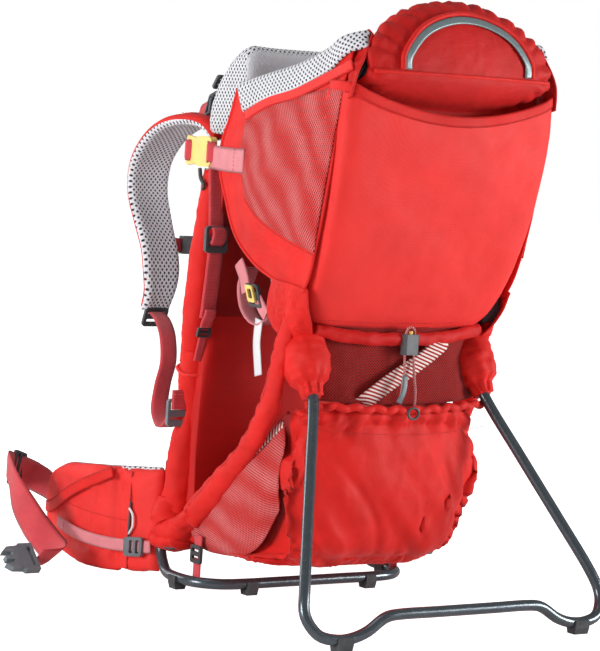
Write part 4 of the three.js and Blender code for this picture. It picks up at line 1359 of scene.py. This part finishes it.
# Rails down the mesh pocket: how far it tucks in, and points (y, z), in mm.
BAG_POCKET = [(0, [(40, 74), (-14, 120), (-70, 172), (-122, 226)]),
              (0, [(24, 58), (-30, 96), (-86, 144), (-138, 200)]),
              (0.3, [(0, 52), (-50, 72), (-98, 108), (-140, 164)]),
              (1, [(-30, 52), (-70, 58), (-106, 80), (-138, 124)])]


def add_bag_side(side):
    """Stretch mesh pocket on the bag's side, with its hatched elastic, and the lock under the bag."""
    name = SIDES[side]
    grid = skin([[spot(side * (bag_half(z) + 2.5 - 8 * tuck), y, z) for y, z in rail] for tuck, rail in BAG_POCKET],
                36, 50)
    for i, row in enumerate(grid):
        for j, p in enumerate(row):
            belly = math.sin(math.pi * i / 35) * math.sin(math.pi * j / 49)
            fold = math.sin((p.y * 0.8 - p.z) / (13 * MM))
            p.x += side * (4.5 * belly + 1.2 * fold * belly) * MM
    sheet("bag_mesh_pocket_" + name, grid, RED_MESH, 1, "stretched", "luggage_bag")
    buckle("bag_anchor_lock_" + name, "frame", (22, 22, 3), 4.5, PLASTIC, spot(side * 149, 8, 47), (0, -1, 0), UP,
           [(14, 4, 0, 5), (14, 4, 0, -4)])
    for k, (top, foot) in enumerate(((70, 52), (42, 14))):
        line = [spot(side * 147, 8, top + (foot - top) * i / 9) for i in range(10)]
        web(f"bag_anchor_web_{name}_{k}", "frame", line, 17, across=Vector((0, 1, 0)))
    web("bag_pocket_elastic_" + name, "frame", shifted(grid[1], side * 1.5, 0, 0), 9, HATCH, facing(1), 1.6)


# ---------- mesh and strap under the rear panel ----------
def add_under_panel():
    rows = [[spot(124 * u, y + 26 * abs(u) ** 3, z + 4 * u * u) for u in (-1, -0.7, -0.35, 0, 0.35, 0.7, 1)]
            for z, y in ((352, -172), (320, -176), (286, -178), (252, -184))]
    sheet("seat_mesh_band", skin(rows, 30, 80), DARK_MESH, 1.2, "stretched", "luggage_bag", wave=2 * MM,
          size=40 * MM, seed=5)
    roll = spline(mm((-118, -164, 336), (-70, -179, 330), (0, -184, 328), (70, -179, 332), (118, -164, 338)), 90)
    put(tube_cover("seat_hem_roll", roll, 7.5 * MM, RED_SHADED, 0.8, 1.6 * MM, 4), "frame")
    across = spline(mm((-58, -176, 250), (-50, -186, 260), (-20, -187, 280), (10, -187, 297), (52, -184, 324),
                       (58, -176, 330)), 60)
    web("hatched_strap", "frame", across, 21, HATCH, facing(0, -1), 1.6)
    tab = spline(mm((-12, -201, 288), (-13, -203, 276), (-16, -204, 266), (-20, -203, 256)), 20)
    web("cord_pull_tab", "frame", tab, 8, PLASTIC_GREY, thickness=2.4)


# ---------- seat, child's harness and stirrups ----------
def add_seat():
    rows = []
    for v in (0, 0.2, 0.4, 0.6, 0.8, 1.0):
        half = 78 + 14 * math.cos(math.tau * v)
        rows.append([spot(half * u, -160 + 130 * v, 412 - 16 * math.sin(math.pi * v) + 6 * u * u)
                     for u in (-1, -0.5, 0, 0.5, 1)])
    seat = pad("seat_cushion", skin(rows, 40, 44), 13 * MM, FLEECE, RED_DEEP_SHADE, rounding=9 * MM,
               quilt=((0.5, "column"),))
    put(seat, "seat", "seat_pan", fill=0.6)
    strap = ((34, -212, 560), (36, -190, 568), (38, -160, 552), (30, -125, 510), (8, -103, 474))
    for side, name, replaced in ((LEFT, "left", ["child_harness"]), (RIGHT, "right", [])):
        put(ribbon("harness_shoulder_" + name, curve(60, side, *strap), 25 * MM, WEB_T, WEBBING), "seat", *replaced)
    web("harness_crotch", "seat", spline(mm((0, -102, 482), (0, -99, 448), (0, -92, 424), (0, -86, 408)), 30), 30)
    for side, name in SIDES.items():
        padded = curve(30, side, (36, -186, 566), (38, -160, 555), (31, -128, 514), (22, -116, 492))
        grid = strap_grid(padded, 38 * MM, 40, 14)
        put(pad("harness_pad_" + name, grid, 8 * MM, FLEECE, FLEECE, rounding=5 * MM), "seat", fill=0.5)


STIRRUP_PATH = [(-24, 396), (-15, 372), (-25, 345), (-52, 331), (-79, 343), (-90, 368), (-84, 392)]
STIRRUP_UP = (0, 0.45, 0.9)


def add_stirrup(side):
    """Foot loop hanging beside the seat, its adjuster buckle and the care label behind it."""
    name = SIDES[side]
    body = "stirrup_" + name

    def hung(x, count, points):
        return spline([spot(side * x, y, z) for y, z in points], count)

    put(ribbon("stirrup_loop_" + name, hung(118, 70, STIRRUP_PATH), 24 * MM, WEB_T, WEBBING_PALE), body, body)
    web("stirrup_tab_" + name, body, hung(133, 20, ((-20, 402), (-32, 386), (-40, 368))), 20, WEBBING_PALE,
        facing(side))
    place = spot(side * 136, -62, 366)
    buckle("stirrup_buckle_" + name, body, (26, 30, 4), 5, PLASTIC, place, (0, -1, 0), STIRRUP_UP,
           [(18, 5, 0, 8), (18, 5, 0, -8)])
    put(plate("stirrup_button_" + name, rectangle(15, 22, 2.5), 4 * MM, YELLOW, place + spot(side * 3.4, 3, 2),
              (0, -1, 0), STIRRUP_UP, [rectangle(8, 12, 2, 3)]), body)
    web("stirrup_strap_" + name, body, hung(136, 20, ((-70, 362), (-81, 352), (-90, 346))), 17, WEBBING_PALE,
        facing(side))
    label = hung(126, 24, ((-60, 338), (-58, 312), (-62, 290), (-66, 272)))
    web("care_label_" + name, body, label, 24, WHITE, facing(side, 0.2), 0.8)


# ---------- hip belt ----------
FIN_PATH = [(146, 95, 70), (160, 130, 70), (174, 165, 69), (183, 205, 68), (182, 255, 66), (175, 302, 65),
            (161, 336, 66)]
FIN_MIDDLE = 66  # mm, height of the fin's middle line


def fin_point(path, u, v, side):
    """u runs from the fin's root to its tip, v from its lower edge to its upper."""
    tip = math.sqrt(max(0, 1 - max(0, (u - 0.60) / 0.405) ** 2.4))
    low = FIN_MIDDLE - 64 * tip * (0.88 + 0.12 * math.sin(math.pi * min(1, u * 1.2)))
    high = FIN_MIDDLE + (70 - 24 * u) * tip
    at = u * (len(path) - 1)
    before = min(int(at), len(path) - 2)
    place = path[before].lerp(path[before + 1], at - before)
    return Vector((side * place.x, place.y, (low + (high - low) * v) * MM))


def add_fin(side):
    """Hip fin: puffed red face with its pocket, mesh lining, zip, webbing and grey ladder lock."""
    name = SIDES[side]
    body = "fin_" + name
    path = spline(mm(*FIN_PATH), 401)
    rows, columns = 40, 92
    shares = [0.998 * math.sin(math.pi / 2 * j / (columns - 1)) for j in range(columns)]
    grid = [[fin_point(path, share, i / (rows - 1), side) for share in shares] for i in range(rows)]
    faces = (RED_LIT, AIR_MESH) if side == RIGHT else (AIR_MESH, RED_LIT)
    fin = pad("hip_pad_" + name, grid, 22 * MM, *faces, edge=RED, rounding=17 * MM, quilt=((0.17, "column"),))
    puff(fin, lambda p: p.y < 0.125, 2.5, 0.02, 5 * MM)
    for v in fin.data.vertices:
        v.co += v.normal * 1.3 * MM * noise.fractal(v.co / (26 * MM), 0.9, 2, 3)
    put(fin, body, "hip_fin_" + name, fill=0.7)

    def outside(u, v, proud):
        """A point of the fin's outer face, proud of its middle surface by so many mm."""
        here, ahead = fin_point(path, u, v, side), fin_point(path, min(0.99, u + 0.01), v, side)
        return here + (ahead - here).cross(UP).normalized() * side * proud * MM

    def line(pairs, count=50, proud=12.6):
        return [outside(p.x, p.y, proud) for p in spline(flat(pairs), count)]

    band = line([(0.95, 0.36), (0.82, 0.48), (0.60, 0.72), (0.28, 0.97)], proud=12.0)
    web("fin_band_" + name, body, band, 15, RED, facing(side), 2)
    sew("fin_band_stitch_" + name, body, shifted(band, side * 1.3, 0, 6))
    rod("fin_seam_" + name, body, line([(0.17, 0.02), (0.173, 0.5), (0.17, 0.98)], proud=9.6), 1, THREAD, 8)
    sew("fin_pocket_stitch_" + name, body, line([(0.66, 0.60), (0.42, 0.55), (0.18, 0.50)]))
    rod("fin_zip_" + name, body, line([(0.168, 0.68), (0.168, 0.5), (0.17, 0.34)], 30, 10.4), 1.7, PLASTIC, 8)
    strap = line([(0.70, 0.35), (0.52, 0.31), (0.32, 0.27), (0.12, 0.25), (0.02, 0.25)], 60, 14.2)
    web("fin_strap_" + name, body, strap, 16, WEBBING_PALE, UP)
    tack = outside(0.62, 0.33, 14)
    sew("fin_strap_stitch_" + name, body, [tack + spot(side * 1.8, 0, d) for d in (-7, -3, 0, 3, 7)], THREAD_PALE)
    at = outside(0.115, 0.25, 17)
    buckle("fin_ladder_lock_" + name, body, (28, 24, 4), 5, PLASTIC_GREY, at,
           (outside(0.17, 0.25, 17) - at).normalized(), UP, [(5, 16, -7, 0), (5, 16, 2.5, 0)])
    binding = line([(0.03, 0.995), (0.3, 0.998), (0.6, 0.998), (0.8, 0.995)], 60, 2.0)
    rod("fin_mesh_edge_" + name, body, shifted(binding, -side * 5, 0, 0), 3.6, AIR_MESH)
    root = spline([fin_point(path, 0.99, 0.5, side), spot(side * 157, 344, 70), spot(side * 157, 350, 72)], 14)
    put(ribbon("belt_root_" + name, root, BELT_W, BELT_T, WEBBING, UP), body)
    pull = [outside(0.165, 0.62, 13), outside(0.135, 0.56, 15.5), outside(0.13, 0.45, 16), outside(0.16, 0.37, 13)]
    put(sweep("zip_loop_" + name, spline(pull, 30), 1.5 * MM, WHITE, 10), "zip_" + name, "zip_pull_" + name)
    belt = spline(mirror(BELT_ROUTE, side), 70)
    at = round(GLIDE_SHARE * 69)
    along = tangent(belt, at)
    buckle("belt_glide_" + name, body, (26, 46, 4), 4.5, PLASTIC, belt[at], along, belt_lean(GLIDE_SHARE, along),
           [(4, 39, 5, 0), (4, 39, -5, 0)])


# ---------- build everything ----------
add_camera()
add_studio()
add_cords()
add_frame()
add_rear_panel()
add_crown()
add_back()
add_shoulder_harness()
add_sternum()
add_lower_bag()
add_under_panel()
add_seat()
for each in SIDES:
    for add in (add_cockpit_side, add_side_webbing, add_upright_cover, add_strut_band, add_kick_cuff, add_bag_side,
                add_stirrup, add_fin):
        add(each)
